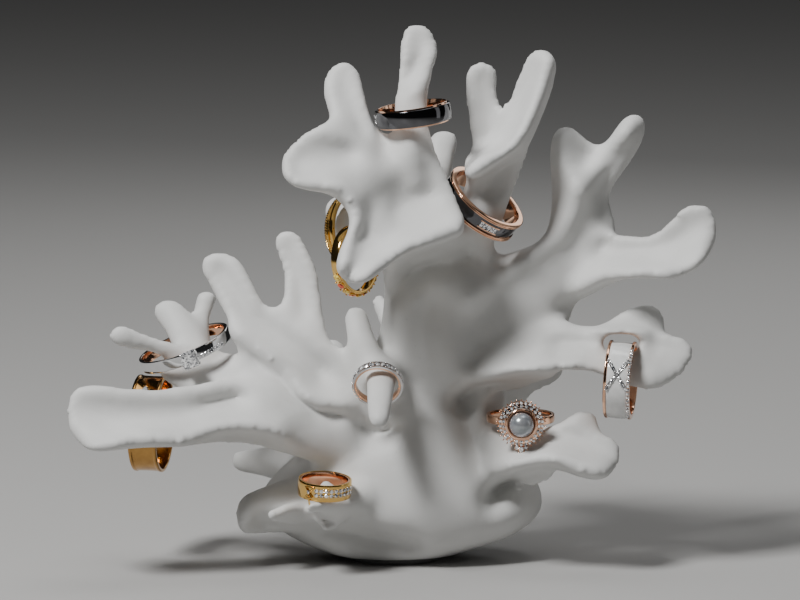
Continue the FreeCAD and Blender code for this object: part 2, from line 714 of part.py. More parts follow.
def make_solitaire():
    inside, wall = terms(0.5, "solitaire_bore"), terms(1, "solitaire_wall")
    middle = terms(0.5, "solitaire_width")
    stone, depth = terms(1, "solitaire_stone_size"), terms(1, "solitaire_stone_depth")
    outside = inside + wall
    shares = SETTING_SHARES
    setting = new_body("solitaire_setting")
    cup = circle_sketch(setting, "solitaire_cup_round", "XY_Plane", [([], [])], part_of(shares["cup"], stone))
    raised(setting, "solitaire_cup", cup, part_of(shares["cup_height"], depth))
    reach = part_of(shares["plate"], stone)
    corners = [(part_of(a, reach), part_of(b, reach)) for a, b in ((1, 1), (-1, 1), (-1, -1), (1, -1))]
    plate = corner_sketch(setting, "solitaire_plate_outline", "XY_Plane", corners)
    raised(setting, "solitaire_plate", plate, part_of(shares["plate_height"], depth))
    feet = circle_sketch(setting, "solitaire_prong_rounds", "XY_Plane", corners,
                         terms(0.5, "solitaire_prong"))
    raised(setting, "solitaire_prongs", feet, part_of(shares["prong_height"], depth))
    seat = total(outside)
    height = total(middle)
    lift = total(depth) * shares["lift"]
    return [
        (band("solitaire_band", inside, wall, terms(1, "solitaire_width")), Placement()),
        (setting, outward(seat, height)),
        (cut_stone("solitaire_stone", part_of(shares["stone"], stone), part_of(shares["stone_depth"], depth)),
         outward(seat + lift, height)),
        (stone_row("solitaire_row", outside, terms(ROW_WIDTH_SHARE, "solitaire_width"), middle, 28, 5),
         round_by(16))]


def make_hoop():
    inside, wall = terms(0.5, "hoop_bore"), terms(1, "hoop_wall")
    seat, height = total(inside + wall), size("hoop_width") / 2
    return [
        (band("hoop_band", inside, wall, terms(1, "hoop_width")), Placement()),
        (cut_stone("hoop_stone", terms(1, "hoop_stone_size"), terms(1, "hoop_stone_height")),
         outward(seat, height))]


CROSSOVER_ANGLE = 5


def make_crossover():
    wires = []
    for number, way in enumerate((1, -1)):
        wire = doc.addObject("Part::Torus", "crossover_wire_%d" % (number + 1))
        wire.setExpression("Radius1", "sizes.crossover_bore / 2 + sizes.crossover_wire / 2")
        wire.setExpression("Radius2", "sizes.crossover_wire / 2")
        wire.Placement = Placement(Vector(), Rotation(Vector(0, 1, 0), CROSSOVER_ANGLE * way))
        wires.append(wire)
    ring = doc.addObject("Part::MultiFuse", "crossover_ring")
    ring.Shapes = wires
    ring.Label = "crossover_ring"
    return [(ring, Placement())]


def make_amber():
    inside, wall = terms(0.5, "amber_bore"), terms(1, "amber_wall")
    return [
        (band("amber_band", inside, wall, terms(1, "amber_width")), Placement()),
        (stone_row("amber_row", inside + wall, terms(1, "amber_stone_size"), terms(0.5, "amber_width"), 140, 9),
         round_by(-70))]


def make_eternity():
    inside, wall = terms(0.5, "eternity_bore"), terms(1, "eternity_wall")
    return [
        (band("eternity_band", inside, wall, terms(1, "eternity_width")), Placement()),
        (stone_row("eternity_row", inside + wall, terms(1, "eternity_stone_size"), terms(0.5, "eternity_width"),
                   360, 28), Placement())]


CLAW_SHOULDER_SHARE = 0.1  # where the claw leaves the band, of its width
CLAW_FOOT_SHARE = 0.25     # how deep the claw is rooted, of the band's wall
CLAW_WALL_SHARE = 0.6


def make_claw():
    inside, wall = terms(0.5, "claw_bore"), terms(1, "claw_wall")
    width, middle = terms(1, "claw_width"), terms(0.5, "claw_width")
    body = band("claw_band", inside, wall, width)
    shoulder, below = part_of(CLAW_SHOULDER_SHARE, width), less([], middle)
    corners = [(below, shoulder), ([], below), (middle, shoulder)]
    outline = corner_sketch(body, "claw_outline", "YZ_Plane", corners, inside + part_of(CLAW_FOOT_SHARE, wall))
    raised(body, "claw", outline, part_of(CLAW_WALL_SHARE, wall))
    return [
        (body, Placement()),
        (stone_row("claw_row", inside + wall, terms(1, "claw_stone_size"), middle, 90, 8), round_by(14))]


# The pearl's cup, of half its size across, and its levels, of the halo's thickness.
CUP_SHARES = {"foot": 0.6, "lip": 0.86, "hollow": 0.5, "top": 2.2, "floor": 0.5}
# The halo's inner edge, of half the cup, its levels, of its thickness, and its stones, of its breadth.
HALO_SHARES = {"inner": 1.02, "low": 1.0, "high": 2, "gem": 0.46, "gem_level": 1.5}


def make_pearl():
    inside, wall = terms(0.5, "pearl_bore"), terms(1, "pearl_wall")
    seat, height = total(inside + wall), size("pearl_width") / 2
    cup_size, halo, thickness = (terms(1, "pearl_cup_size"), terms(1, "pearl_halo_size"),
                                 terms(1, "pearl_halo_thickness"))
    cup = new_body("pearl_cup")
    half = part_of(0.5, cup_size)
    top, floor = part_of(CUP_SHARES["top"], thickness), part_of(CUP_SHARES["floor"], thickness)
    corners = [([], []), (part_of(CUP_SHARES["foot"], half), []), (half, top),
               (part_of(CUP_SHARES["lip"], half), top), (part_of(CUP_SHARES["hollow"], half), floor),
               ([], floor)]
    turned(cup, "pearl_cup_turn", corner_sketch(cup, "pearl_cup_outline", "XZ_Plane", corners))
    pearl = doc.addObject("Part::Sphere", "pearl")
    pearl.setExpression("Radius", "sizes.pearl_size / 2")
    pearl.Label = "pearl"
    wreath = new_body("pearl_halo")
    inner, outer = part_of(HALO_SHARES["inner"], half), part_of(0.5, halo)
    low, high = part_of(HALO_SHARES["low"], thickness), part_of(HALO_SHARES["high"], thickness)
    corners = [(inner, low), (outer, low), (outer, high), (inner, high)]
    turned(wreath, "pearl_halo_turn", corner_sketch(wreath, "pearl_halo_outline", "XZ_Plane", corners))
    gem = part_of(HALO_SHARES["gem"], less(outer, inner))
    sketch = circle_sketch(wreath, "pearl_gem_round", "XY_Plane",
                           [(part_of(0.5, inner + outer), [])], gem,
                           part_of(HALO_SHARES["gem_level"], thickness))
    round_copies(wreath, "pearl_gems", raised(wreath, "pearl_gem", sketch, thickness), 360, 16)
    return [
        (band("pearl_band", inside, wall, terms(1, "pearl_width")), Placement()),
        (cup, outward(seat, height)),
        (pearl, outward(seat + total(floor) + size("pearl_size") / 2, height)),
        (wreath, outward(seat, height))]


STRAND_ANGLE = 34
STRAND_SHARE = 0.16        # a strand's breadth, of the panel's height
FIELD_SHARE = 0.96         # how much of the panel's height the strands cross


def make_cross():
    inside, wall = terms(0.5, "cross_bore"), terms(1, "cross_wall")
    rim, width = terms(1, "cross_rim"), terms(1, "cross_width")
    panel_wall = terms(1, "cross_panel_wall")
    floor = inside + wall
    strands = doc.addObject("Part::Feature", "cross_strands")
    low, high = total(floor + panel_wall), total(floor + panel_wall) + size("cross_panel_wall")
    tall = size("cross_width")
    sleeve = Part.makeCylinder(high, tall).cut(Part.makeCylinder(low, tall))
    open_height = tall - 2 * size("cross_rim")
    bars = []
    for way in (1, -1):
        bar = Part.makeBox(high, open_height * STRAND_SHARE, open_height * 2,
                           Vector(0, -open_height * STRAND_SHARE / 2, -open_height))
        bar.rotate(Vector(), Vector(1, 0, 0), STRAND_ANGLE * way)
        bar.translate(Vector(0, 0, tall / 2))
        bars.append(bar)
    field = Part.makeBox(high, high, open_height * FIELD_SHARE,
                         Vector(0, -high / 2, tall / 2 - open_height * FIELD_SHARE / 2))
    strands.Shape = bars[0].fuse(bars[1]).common(sleeve).common(field).removeSplitter()
    strands.Label = "cross_strands"
    return [
        (railed_band("cross_band", inside, wall, terms(1, "cross_rim_height"), rim, width),
         Placement()),
        (band("cross_panel", floor, panel_wall, less(width, part_of(2, rim)), rim, INLAY_BEVEL_SHARE, 150),
         Placement()),
        (strands, Placement())]


# Each ring: its maker, the photograph pixel and depth of its middle, the ways (right, up, out) of its axis
# and of its setting, the way it drops onto its seat, and the fronds that it may come to rest on.
RINGS_PIXELS = {
    "two_tone": (make_two_tone, (413, 109, 57), (-0.14, 1, 0.02), (0, 0, 1), (0.14, -1, -0.02),
                 ("top_fan", "top_leaf")),
    "rail": (make_rail, (483, 205, 25), (0.57, 0.75, 0.30), (0, 0, 1), (-0.57, -0.75, -0.30),
             ("folded_frond", "trunk", "top_fan")),
    "solitaire": (make_solitaire, (186, 349, 15), (-0.36, 0.93, 0.10), (0.1, 0, 1), (0.36, -0.93, -0.10),
                  ("left_cluster",)),
    "hoop": (make_hoop, (152, 430, 10), (-0.98, 0.02, -0.17), (0.1, 0.75, 0.6), (0, -1, 0),
             ("arm_hook",)),
    "crossover": (make_crossover, (352, 228, 52), (0.8, 0.1, 0.6), (0, 0, 1), (0, -1, 0),
                  ("hidden_finger",)),
    "amber": (make_amber, (357, 264, 97), (0.8, 0.1, 0.57), (0, -1, 0), (0, -1, 0),
              ("fan_hook",)),
    "eternity": (make_eternity, (379, 386, 84), (-0.02, -0.5, 0.87), (0, 1, 0), (0, -1, 0),
                 ("front_stub",)),
    "claw": (make_claw, (327, 481, 103), (0.05, 1, 0.12), (-0.7, 0, 1), (0, -1, 0),
             ("front_lobe",)),
    "pearl": (make_pearl, (521, 416, 46), (0, 1, 0), (0, 0, 1), (0, -1, 0),
              ("lower_right_fan",)),
    "cross": (make_cross, (620, 382, 60), (0.985, -0.05, 0.16), (0, 0, 1), (0, -1, 0),
              ("upper_right_fan",)),
}
SEAT_STEPS = 8
SEAT_SLACK_SHARE = 0.05    # how near the seat gap is met
HOOPS = ("two_tone_liner", "two_tone_band", "rail_band", "solitaire_band", "hoop_band", "crossover_ring",
         "amber_band", "eternity_band", "claw_band", "pearl_band", "cross_band")


def way(right, up, out):
    return Vector(right, -out, up).normalize()


def ring_frame(middle, axis, toward, width):
    """The place of a ring whose Z axis and setting point the given ways, centred on its middle."""
    z_way = way(*axis)
    facing = way(*toward)
    x_way = (facing - z_way * facing.dot(z_way)).normalize()
    y_way = z_way.cross(x_way)
    return Placement(place(*middle) - z_way * width / 2, Rotation(x_way, y_way, z_way, "ZXY"))


def seated(frame, hoop, drop, fronds):
    """The frame moved along the drop until the hoop is one seat gap from the nearest frond."""
    gap = size("seat_gap")
    seat = Placement(frame)
    for step in range(SEAT_STEPS):
        hoop.Placement = seat
        distance = min(hoop.distToShape(frond)[0] for frond in fronds)
        if abs(distance - gap) < gap * SEAT_SLACK_SHARE:
            break
        seat.Base = seat.Base + drop * (distance - gap)
    return seat


def dress(coral):
    """Every ring at its seat; returns the objects of their pieces."""
    pieces = []
    for name, (maker, middle, axis, toward, drop, fronds) in RINGS_PIXELS.items():
        ring = maker()
        doc.recompute()
        hoop = Part.makeCompound([piece.Shape for piece, local in ring if piece.Name in HOOPS])
        width = size(name + "_width") if name + "_width" in SIZES else 0
        frame = ring_frame(middle, axis, toward, width)
        seat = seated(frame, hoop, way(*drop), [coral[frond] for frond in fronds])
        for piece, local in ring:
            piece.Placement = seat * local
            pieces.append(piece)
    return pieces


fronds = make_coral()
felt = make_felt()
pieces = fronds + [felt] + dress({frond.Name: frond.Shape for frond in fronds})
doc.recompute()
for item in doc.Objects:
    if "Invalid" in item.State or "Error" in item.State:
        raise RuntimeError("%s is in error" % item.Label)
os.makedirs("parts", exist_ok=True)
for piece in pieces:
    if piece.Shape.isNull() or not piece.Shape.isValid():
        raise RuntimeError("%s has no valid shape" % piece.Label)
    piece.Shape.exportStep("parts/%s.step" % piece.Label)
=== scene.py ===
import json
import math

import bmesh
import bpy
import numpy as np
from mathutils import Matrix, Vector
from mathutils.bvhtree import BVHTree
from mathutils.kdtree import KDTree


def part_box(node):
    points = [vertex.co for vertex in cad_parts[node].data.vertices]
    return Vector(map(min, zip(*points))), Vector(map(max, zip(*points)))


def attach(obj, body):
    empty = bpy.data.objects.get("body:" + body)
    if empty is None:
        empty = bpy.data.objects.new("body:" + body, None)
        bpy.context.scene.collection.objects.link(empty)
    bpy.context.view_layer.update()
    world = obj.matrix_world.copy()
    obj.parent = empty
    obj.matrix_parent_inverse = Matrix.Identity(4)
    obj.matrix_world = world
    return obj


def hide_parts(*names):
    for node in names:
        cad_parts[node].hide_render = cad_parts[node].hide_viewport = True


# Ring tree: a matt white coral on a felt pad, hung with ten finger rings. Metres, front toward -Y, Z up.

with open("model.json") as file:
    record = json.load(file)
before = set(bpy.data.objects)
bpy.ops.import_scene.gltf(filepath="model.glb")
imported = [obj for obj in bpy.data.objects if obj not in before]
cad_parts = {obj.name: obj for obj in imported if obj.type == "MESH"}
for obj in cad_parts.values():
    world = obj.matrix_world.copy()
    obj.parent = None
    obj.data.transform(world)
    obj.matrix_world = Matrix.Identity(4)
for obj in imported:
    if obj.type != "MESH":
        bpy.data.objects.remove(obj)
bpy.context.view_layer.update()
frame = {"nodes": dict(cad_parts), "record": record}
MM = 0.001


# Shader maths

class Value:
    """A socket of a finish that Python's operators work on."""

    def __init__(self, finish, socket):
        self.finish = finish
        self.socket = socket

    def maths(self, operation, first, second=0.0, clamp=False):
        settings = {"operation": operation, "use_clamp": clamp}
        return self.finish.node("ShaderNodeMath", settings, {0: first, 1: second})

    def __add__(self, other):
        return self.maths("ADD", self, other)

    def __radd__(self, other):
        return self.maths("ADD", other, self)

    def __sub__(self, other):
        return self.maths("SUBTRACT", self, other)

    def __rsub__(self, other):
        return self.maths("SUBTRACT", other, self)

    def __mul__(self, other):
        return self.maths("MULTIPLY", self, other)

    def __rmul__(self, other):
        return self.maths("MULTIPLY", other, self)

    def __truediv__(self, other):
        return self.maths("DIVIDE", self, other)

    def __pow__(self, other):
        return self.maths("POWER", self, other)

    def above(self, level):
        return self.maths("GREATER_THAN", self, level)

    def held(self):
        return self.maths("ADD", self, 0.0, clamp=True)


class Finish:
    """One procedural material, its nodes and its shader."""

    def __init__(self, name):
        self.material = bpy.data.materials.new(name)
        self.material.use_nodes = True
        self.tree = self.material.node_tree
        self.shader = self.tree.nodes["Principled BSDF"]

    def node(self, kind, settings=None, values=None, output=0):
        """Add a node: its settings first, then the values or links of its sockets."""
        made = self.tree.nodes.new(kind)
        for key, setting in (settings or {}).items():
            if key == "stops":
                self.set_stops(made.color_ramp, setting)
            else:
                setattr(made, key, setting)
        self.fill(made, values or {})
        return Value(self, made.outputs[output])

    def set_stops(self, ramp, stops):
        while len(ramp.elements) < len(stops):
            ramp.elements.new(0.5)
        for element, (position, colour) in zip(ramp.elements, stops):
            element.position = position
            element.color = (*colour, 1.0)

    def fill(self, made, values):
        for key, value in values.items():
            socket = made.inputs[key]
            if isinstance(value, Value):
                self.tree.links.new(value.socket, socket)
            elif isinstance(value, tuple) and len(value) == 3 and socket.type == "RGBA":
                socket.default_value = (*value, 1.0)
            else:
                socket.default_value = value

    def where(self):
        return self.node("ShaderNodeTexCoord", output="Object")

    def noise(self, grain, detail=3.0, rough=0.5, stretch=None):
        """Noise from 0 to 1 whose lumps are about one grain across, in metres."""
        place = self.where()
        if stretch:
            place = self.node("ShaderNodeMapping", values={"Vector": place, "Scale": stretch})
        return self.node("ShaderNodeTexNoise", values={
            "Vector": place, "Scale": 1.0 / grain, "Detail": detail, "Roughness": rough})

    def cells(self, grain, feature="F1"):
        return self.node("ShaderNodeTexVoronoi", {"feature": feature},
                         {"Vector": self.where(), "Scale": 1.0 / grain})

    def ramp(self, share, stops):
        return self.node("ShaderNodeValToRGB", {"stops": stops}, {"Fac": share})

    def blend(self, share, first, second):
        return self.node("ShaderNodeMix", {"data_type": "RGBA"}, {0: share, 6: first, 7: second}, output=2)

    def bump(self, height, distance, strength=1.0, below=None):
        values = {"Height": height, "Distance": distance, "Strength": strength}
        if below:
            values["Normal"] = below
        return self.node("ShaderNodeBump", values=values)

    def set(self, **values):
        """Set the shader's sockets; a name's underscores stand for its spaces."""
        self.fill(self.shader, {key.replace("_", " "): value for key, value in values.items()})
        return self


def matt_porcelain():
    """Unglazed white casting: faint clouding, a fine tooth and a few pin holes."""
    finish = Finish("matt_porcelain")
    cloud = finish.noise(22 * MM, 4.0, 0.55)
    tooth = finish.noise(0.35 * MM, 2.0, 0.6)
    ripple = finish.noise(3.2 * MM, 3.0, 0.5)
    pits = 1.0 - (finish.cells(5.5 * MM) * 14.0).held()
    colour = finish.ramp(cloud, [(0.30, (0.60, 0.60, 0.585)), (0.52, (0.67, 0.67, 0.655)),
                                 (0.75, (0.72, 0.718, 0.705))])
    colour = finish.blend(pits * 0.25, colour, (0.40, 0.39, 0.375))
    waves = finish.bump(ripple, 0.10 * MM, 0.35)
    grain = finish.bump(tooth - pits * 0.8, 0.035 * MM, 0.6, waves)
    return finish.set(Base_Color=colour, Roughness=0.50 + cloud * 0.16 + tooth * 0.05, Normal=grain,
                      Specular_IOR_Level=0.42, Sheen_Weight=0.05, Sheen_Roughness=0.6)


def grey_felt():
    """Short grey fibres."""
    finish = Finish("grey_felt")
    fibres = finish.noise(0.5 * MM, 6.0, 0.75, (1.0, 3.0, 1.0))
    tufts = finish.noise(2.4 * MM, 3.0, 0.6)
    colour = finish.ramp(fibres * 0.7 + tufts * 0.3, [(0.3, (0.10, 0.10, 0.10)), (0.7, (0.26, 0.255, 0.25))])
    return finish.set(Base_Color=colour, Roughness=0.95, Normal=finish.bump(fibres, 0.3 * MM, 0.9),
                      Sheen_Weight=0.4, Sheen_Roughness=0.7)


def polished_metal(name, light, deep, roughness=0.09):
    """Polished metal with the faint wear that rings carry: hair scratches and a slightly uneven tone."""
    finish = Finish(name)
    tone = finish.noise(2.5 * MM, 3.0, 0.5)
    hairs = finish.noise(0.5 * MM, 5.0, 0.7, (1.0, 7.0, 2.5))
    wear = finish.noise(1.3 * MM, 2.0, 0.5)
    colour = finish.blend(tone, deep, light)
    rough = roughness + (hairs - 0.5) * 0.08 + (wear - 0.35).held() * 0.12
    return finish.set(Base_Color=colour, Metallic=1.0, Roughness=rough.held(),
                      Normal=finish.bump(hairs, 0.006 * MM, 0.25))


def cut_gem(name, light, deep, metallic=0.55, gloss=0.9):
    """A cut stone with painted sparkle: bright and dark facets painted into its colour, differing from stone to
    stone, under a clear skin, and a faint painted glow.
    """
    finish = Finish(name)
    facet = finish.node("ShaderNodeTexVoronoi", {"feature": "F1"},
                        {"Vector": finish.where(), "Scale": 1.0 / (0.42 * MM)}, output="Color")
    share = finish.node("ShaderNodeSeparateColor", values={"Color": facet})
    fire = finish.noise(0.9 * MM, 1.0, 0.5)
    middle = tuple((one + two) / 2 for one, two in zip(light, deep))
    # Painted sparkle: random bright and dark facet colours that stand in for light glinting in the stone.
    colour = finish.ramp(share * 0.75 + fire * 0.25, [(0.22, deep), (0.45, middle), (0.68, light)])
    # The emission is a painted glow: the stones give off a little light of their own.
    return finish.set(Base_Color=colour, Metallic=metallic, Roughness=0.04 + fire * 0.04,
                      Coat_Weight=gloss, Coat_Roughness=0.02, IOR=1.0 + 1.3 * gloss, Specular_IOR_Level=gloss,
                      Emission_Color=colour, Emission_Strength=0.10)


def nacre():
    """Silver grey pearl: soft clouded lustre under a clear skin."""
    finish = Finish("nacre")
    cloud = finish.noise(3.0 * MM, 3.0, 0.5)
    skin = finish.noise(0.25 * MM, 2.0, 0.5)
    colour = finish.ramp(cloud, [(0.30, (0.24, 0.26, 0.29)), (0.55, (0.38, 0.39, 0.41)),
                                 (0.75, (0.50, 0.47, 0.47))])
    return finish.set(Base_Color=colour, Metallic=0.45, Roughness=0.22 + skin * 0.04,
                      Normal=finish.bump(skin, 0.004 * MM, 0.3), Coat_Weight=0.8, Coat_Roughness=0.08,
                      Thin_Film_Thickness=420.0, Thin_Film_IOR=1.6)


def white_enamel():
    """A smooth white face with a faint mottle."""
    finish = Finish("white_enamel")
    flow = finish.noise(1.6 * MM, 2.0, 0.4)
    colour = finish.ramp(flow, [(0.3, (0.72, 0.72, 0.71)), (0.7, (0.80, 0.80, 0.79))])
    return finish.set(Base_Color=colour, Roughness=0.10 + flow * 0.05, Coat_Weight=0.6, Coat_Roughness=0.04,
                      Normal=finish.bump(flow, 0.02 * MM, 0.3))


PORCELAIN = matt_porcelain()
FELT = grey_felt()
GOLD = polished_metal("yellow_gold", (0.92, 0.62, 0.22), (0.80, 0.47, 0.12))
ROSE = polished_metal("rose_gold", (0.93, 0.60, 0.42), (0.84, 0.47, 0.30))
SILVER = polished_metal("white_gold", (0.80, 0.80, 0.80), (0.66, 0.66, 0.67), 0.05)
BRONZED = polished_metal("deep_gold", (0.66, 0.38, 0.12), (0.34, 0.17, 0.05), 0.12)
# Polished silver given a near-black colour: a painted dark reflection, standing in for dark surroundings mirrored
# in the metal.
PAINTED_DARK_REFLECTION = polished_metal("silver_with_painted_dark_reflection", (0.17, 0.17, 0.18), (0.08, 0.08, 0.085), 0.04)
CLEAR = cut_gem("clear_gem", (1.0, 1.0, 1.0), (0.05, 0.055, 0.07))
YELLOW = cut_gem("yellow_gem", (1.0, 0.80, 0.18), (0.42, 0.16, 0.01), 0.2, 0.35)
RED = cut_gem("red_gem", (0.85, 0.12, 0.05), (0.15, 0.01, 0.01), 0.2, 0.35)
NACRE = nacre()
ENAMEL = white_enamel()


# Mesh helpers

def finished(name, mesh, finish, body, nodes=(), smooth=40):
    """Turn a bmesh in the row's frame into a piece that rides on a body and stands for CAD nodes."""
    data = bpy.data.meshes.new(name)
    mesh.to_mesh(data)
    mesh.free()
    data.materials.append(finish.material)
    piece = bpy.data.objects.new(name, data)
    bpy.context.scene.collection.objects.link(piece)
    if smooth:
        data.shade_smooth()
        data.set_sharp_from_angle(angle=math.radians(smooth))
    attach(piece, body)
    if nodes:
        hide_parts(*nodes)
    return piece


def tidied(mesh, reach=1e-4):
    """Merge what coincides and turn every face outward."""
    bmesh.ops.remove_doubles(mesh, verts=mesh.verts, dist=reach)
    bmesh.ops.recalc_face_normals(mesh, faces=mesh.faces)
    return mesh


def softened(mesh, width, segments=2, angle=30):
    """Round every edge that turns by more than an angle."""
    sharp = [edge for edge in mesh.edges
             if len(edge.link_faces) == 2 and edge.calc_face_angle(0) > math.radians(angle)]
    bmesh.ops.bevel(mesh, geom=sharp, offset=width, segments=segments, profile=0.5, affect="EDGES",
                    material=-1, clamp_overlap=True)
    return mesh


def spun(profile, steps=120, start=0.0, sweep=360.0, soft=0.0):
    """A band in millimetres about Z: a closed outline of (radius, height), spun all or part of the way."""
    mesh = bmesh.new()
    turn = Matrix.Rotation(math.radians(start), 4, "Z")
    points = [mesh.verts.new(turn @ Vector((radius, 0, height))) for radius, height in profile]
    edges = [mesh.edges.new((points[i - 1], points[i])) for i in range(len(points))]
    whole = sweep >= 360
    if not whole:
        mesh.faces.new(points)
    bmesh.ops.spin(mesh, geom=points + edges + list(mesh.faces), cent=(0, 0, 0), axis=(0, 0, 1),
                   angle=math.radians(sweep), steps=steps, use_merge=whole)
    tidied(mesh)
    if soft:
        softened(mesh, soft)
    return mesh


def joined(meshes):
    """All the meshes in the first."""
    first = meshes[0]
    for other in meshes[1:]:
        data = bpy.data.meshes.new("part")
        other.to_mesh(data)
        other.free()
        first.from_mesh(data)
        bpy.data.meshes.remove(data)
    return first


def placed(mesh, *matrices):
    """The mesh moved by each matrix in turn."""
    for matrix in matrices:
        bmesh.ops.transform(mesh, matrix=matrix, verts=mesh.verts)
    return mesh


def brilliant(across, sides=8):
    """A round stone: table, crown, girdle and pavilion, its girdle in the XY plane and its table up Z."""
    mesh = bmesh.new()
    radius = across / 2
    levels = ((0.56, 0.30), (0.86, 0.17), (1.0, 0.04), (1.0, -0.04), (0.02, -0.80))
    for (low, high) in zip(levels, levels[1:]):
        depth = (low[1] - high[1]) * radius
        bmesh.ops.create_cone(mesh, cap_ends=low is levels[0], segments=sides, radius1=high[0] * radius,
                              radius2=low[0] * radius, depth=depth,
                              matrix=Matrix.Translation((0, 0, (low[1] + high[1]) / 2 * radius)))
    inner = [face for face in mesh.faces if len(face.verts) > 4 and face.calc_center_median().z < radius * 0.25]
    bmesh.ops.delete(mesh, geom=inner, context="FACES_ONLY")
    return tidied(mesh, across * 1e-3)


def princess(across):
    """A square stone with clipped corners and stepped facets."""
    mesh = bmesh.new()
    half = across / 2
    levels = ((0.60, 0.34), (0.86, 0.22), (1.0, 0.06), (1.0, -0.05), (0.62, -0.55), (0.05, -0.95))
    loops = []
    for reach, level in levels:
        ring = []
        for quarter in range(4):
            for side in (-0.78, 0.78):
                corner = Matrix.Rotation(math.radians(90 * quarter), 3, "Z") @ Vector((1, side, 0))
                ring.append(mesh.verts.new((corner.x * half * reach, corner.y * half * reach, level * half)))
        loops.append([mesh.edges.new((ring[i - 1], ring[i])) for i in range(len(ring))])
        if reach in (0.60, 0.05):
            mesh.faces.new(ring)
    for upper, lower in zip(loops, loops[1:]):
        bmesh.ops.bridge_loops(mesh, edges=upper + lower)
    bmesh.ops.triangulate(mesh, faces=[face for face in mesh.faces if len(face.verts) == 4])
    return tidied(mesh, across * 1e-3)


def bead(radius, centre=(0, 0, 0), stretch=1.0):
    """A small ball, longer along Z by its stretch."""
    mesh = bmesh.new()
    bmesh.ops.create_icosphere(mesh, subdivisions=2, radius=radius)
    return placed(mesh, Matrix.Diagonal((1, 1, stretch, 1)), Matrix.Translation(centre))


def round_ring(radius, angle, height):
    """The matrix that stands a piece outward on a band: its Z points away from the band's middle."""
    return (Matrix.Rotation(math.radians(angle), 4, "Z") @ Matrix.Translation((radius, 0, height))
            @ Matrix.Rotation(math.radians(90), 4, "Y"))


class Ring:
    """The frame of one finger ring, found from its CAD band, and what is built about it."""

    def __init__(self, body, band, axis, toward):
        self.body = body
        axis = self.way(*axis)
        facing = self.way(*toward)
        across = (facing - axis * facing.dot(axis)).normalized()
        beside = axis.cross(across)
        turn = Matrix((across, beside, axis)).transposed()
        points = np.array([v.co for v in frame["nodes"][band].data.vertices]) @ np.array(turn)
        low, high = points[:, 2].min(), points[:, 2].max()
        rim = points[points[:, 2] > high - 0.02 * MM]
        middle = turn @ Vector((*((rim[:, :2].min(0) + rim[:, :2].max(0)) / 2), (low + high) / 2))
        self.top = (high - low) / 2 / MM
        self.matrix = Matrix.Translation(middle) @ turn.to_4x4() @ Matrix.Scale(MM, 4)

    def way(self, right, up, out):
        return Vector((right, -out, up)).normalized()

    def piece(self, name, meshes, finish, slot, nodes=(), smooth=40):
        mesh = joined(meshes) if isinstance(meshes, list) else meshes
        placed(mesh, self.matrix)
        return finished(name, mesh, finish, self.body, nodes, smooth)


def stone_row(radius, angles, height, across, sides=8):
    """Cut stones side by side round a band."""
    return [placed(brilliant(across, sides), round_ring(radius, angle, height)) for angle in angles]


def bead_pairs(radius, angles, height, across, size):
    """Two little beads in each gap of a row of stones."""
    step = angles[1] - angles[0]
    beads = []
    for angle in angles:
        for side in (-0.42, 0.42):
            beads.append(placed(bead(size), round_ring(radius, angle + step / 2, height + side * across)))
    return beads


def spread(start, stop, count):
    """Evenly spaced values from start to stop."""
    return [start + (stop - start) * i / (count - 1) for i in range(count)]


# The coral

CORAL_NODES = [name for name in frame["record"]["behaviour"]["bodies"]["coral"] if name != "felt_pad"]
VOXEL = 1.15 * MM
PIXEL = 0.28 * MM          # one pixel of the photograph at the tree's middle
FOOT_PIXELS = (395, 563)   # where the middle of the foot stands in the photograph
LEAN_SHARE = 0.14          # the camera looks down, so what comes forward looks lower by this share
SEEN_DEPTH = 7.0 * MM      # how far behind the front skin still counts as the front skin
WEB = 1.5 * MM             # the radius that fills the creases between fronds
FINE_VOXEL = 0.92 * MM
SHRUNK = 0.75 * MM         # what the smoothing took off
CARVED = 0.78 * MM         # one step of the carver's thumb
WEB_FREE = 2.2 * MM        # how far from a ring the skin isn't moved at all
WEB_EASE = 5.0 * MM        # over how much more it comes to its whole move
FOOT_FREE = 2.0 * MM       # the same two, upward from the foot
FOOT_EASE = 6.0 * MM
CARVED_FREE = 1.2 * MM     # and for what is carved near a ring
CARVED_EASE = 3.5 * MM
SLIDE_STOPS = (0.25, 0.5, 0.75, 1.0)   # where along its slide a ring still needs room
THINNED = 5                # one in so many of a moved ring's points is enough
CELL_PIXELS = 3            # the grid on which the front skin is told from what lies behind it
FRONT_SHARE = 0.99         # of the camera's way of looking, the part straight ahead
FACING_START, FACING_EASE = 0.1, 0.4   # how far a skin may turn away from the camera and still be carved
THICKEST = 0.1             # taken where no back is met, in metres
RAY_START = 0.3 * MM       # the ray for the thickness starts inside the skin
DEEPEST_SHARE = 0.5        # of the local thickness
ROUGH_PASSES, WEB_PASSES, FINE_PASSES = 4, 6, 6
# Across and high in millimetres, what narrows the right fan's slot: above the band and on its two sides
SLOT_CHEEKS = (((55.0, 71.0), (65.5, 67.2)), ((55.0, 57.7), (59.5, 67.2)), ((68.6, 71.0), (59.5, 67.2)))
CHEEK_PLACE, CHEEK_DEPTH = -14.0, 6.0


def evaluated(piece, kind, **settings):
    """Apply one modifier to the piece's mesh."""
    modifier = piece.modifiers.new(kind.lower(), kind)
    for key, setting in settings.items():
        setattr(modifier, key, setting)
    made = bpy.data.meshes.new_from_object(piece.evaluated_get(bpy.context.evaluated_depsgraph_get()))
    piece.modifiers.clear()
    old = piece.data
    piece.data = made
    bpy.data.meshes.remove(old)


def vectors(items, key):
    """Blender's vectors as one array, a row for each."""
    found = np.zeros(len(items) * 3, np.float32)
    items.foreach_get(key, found)
    return found.reshape(-1, 3)


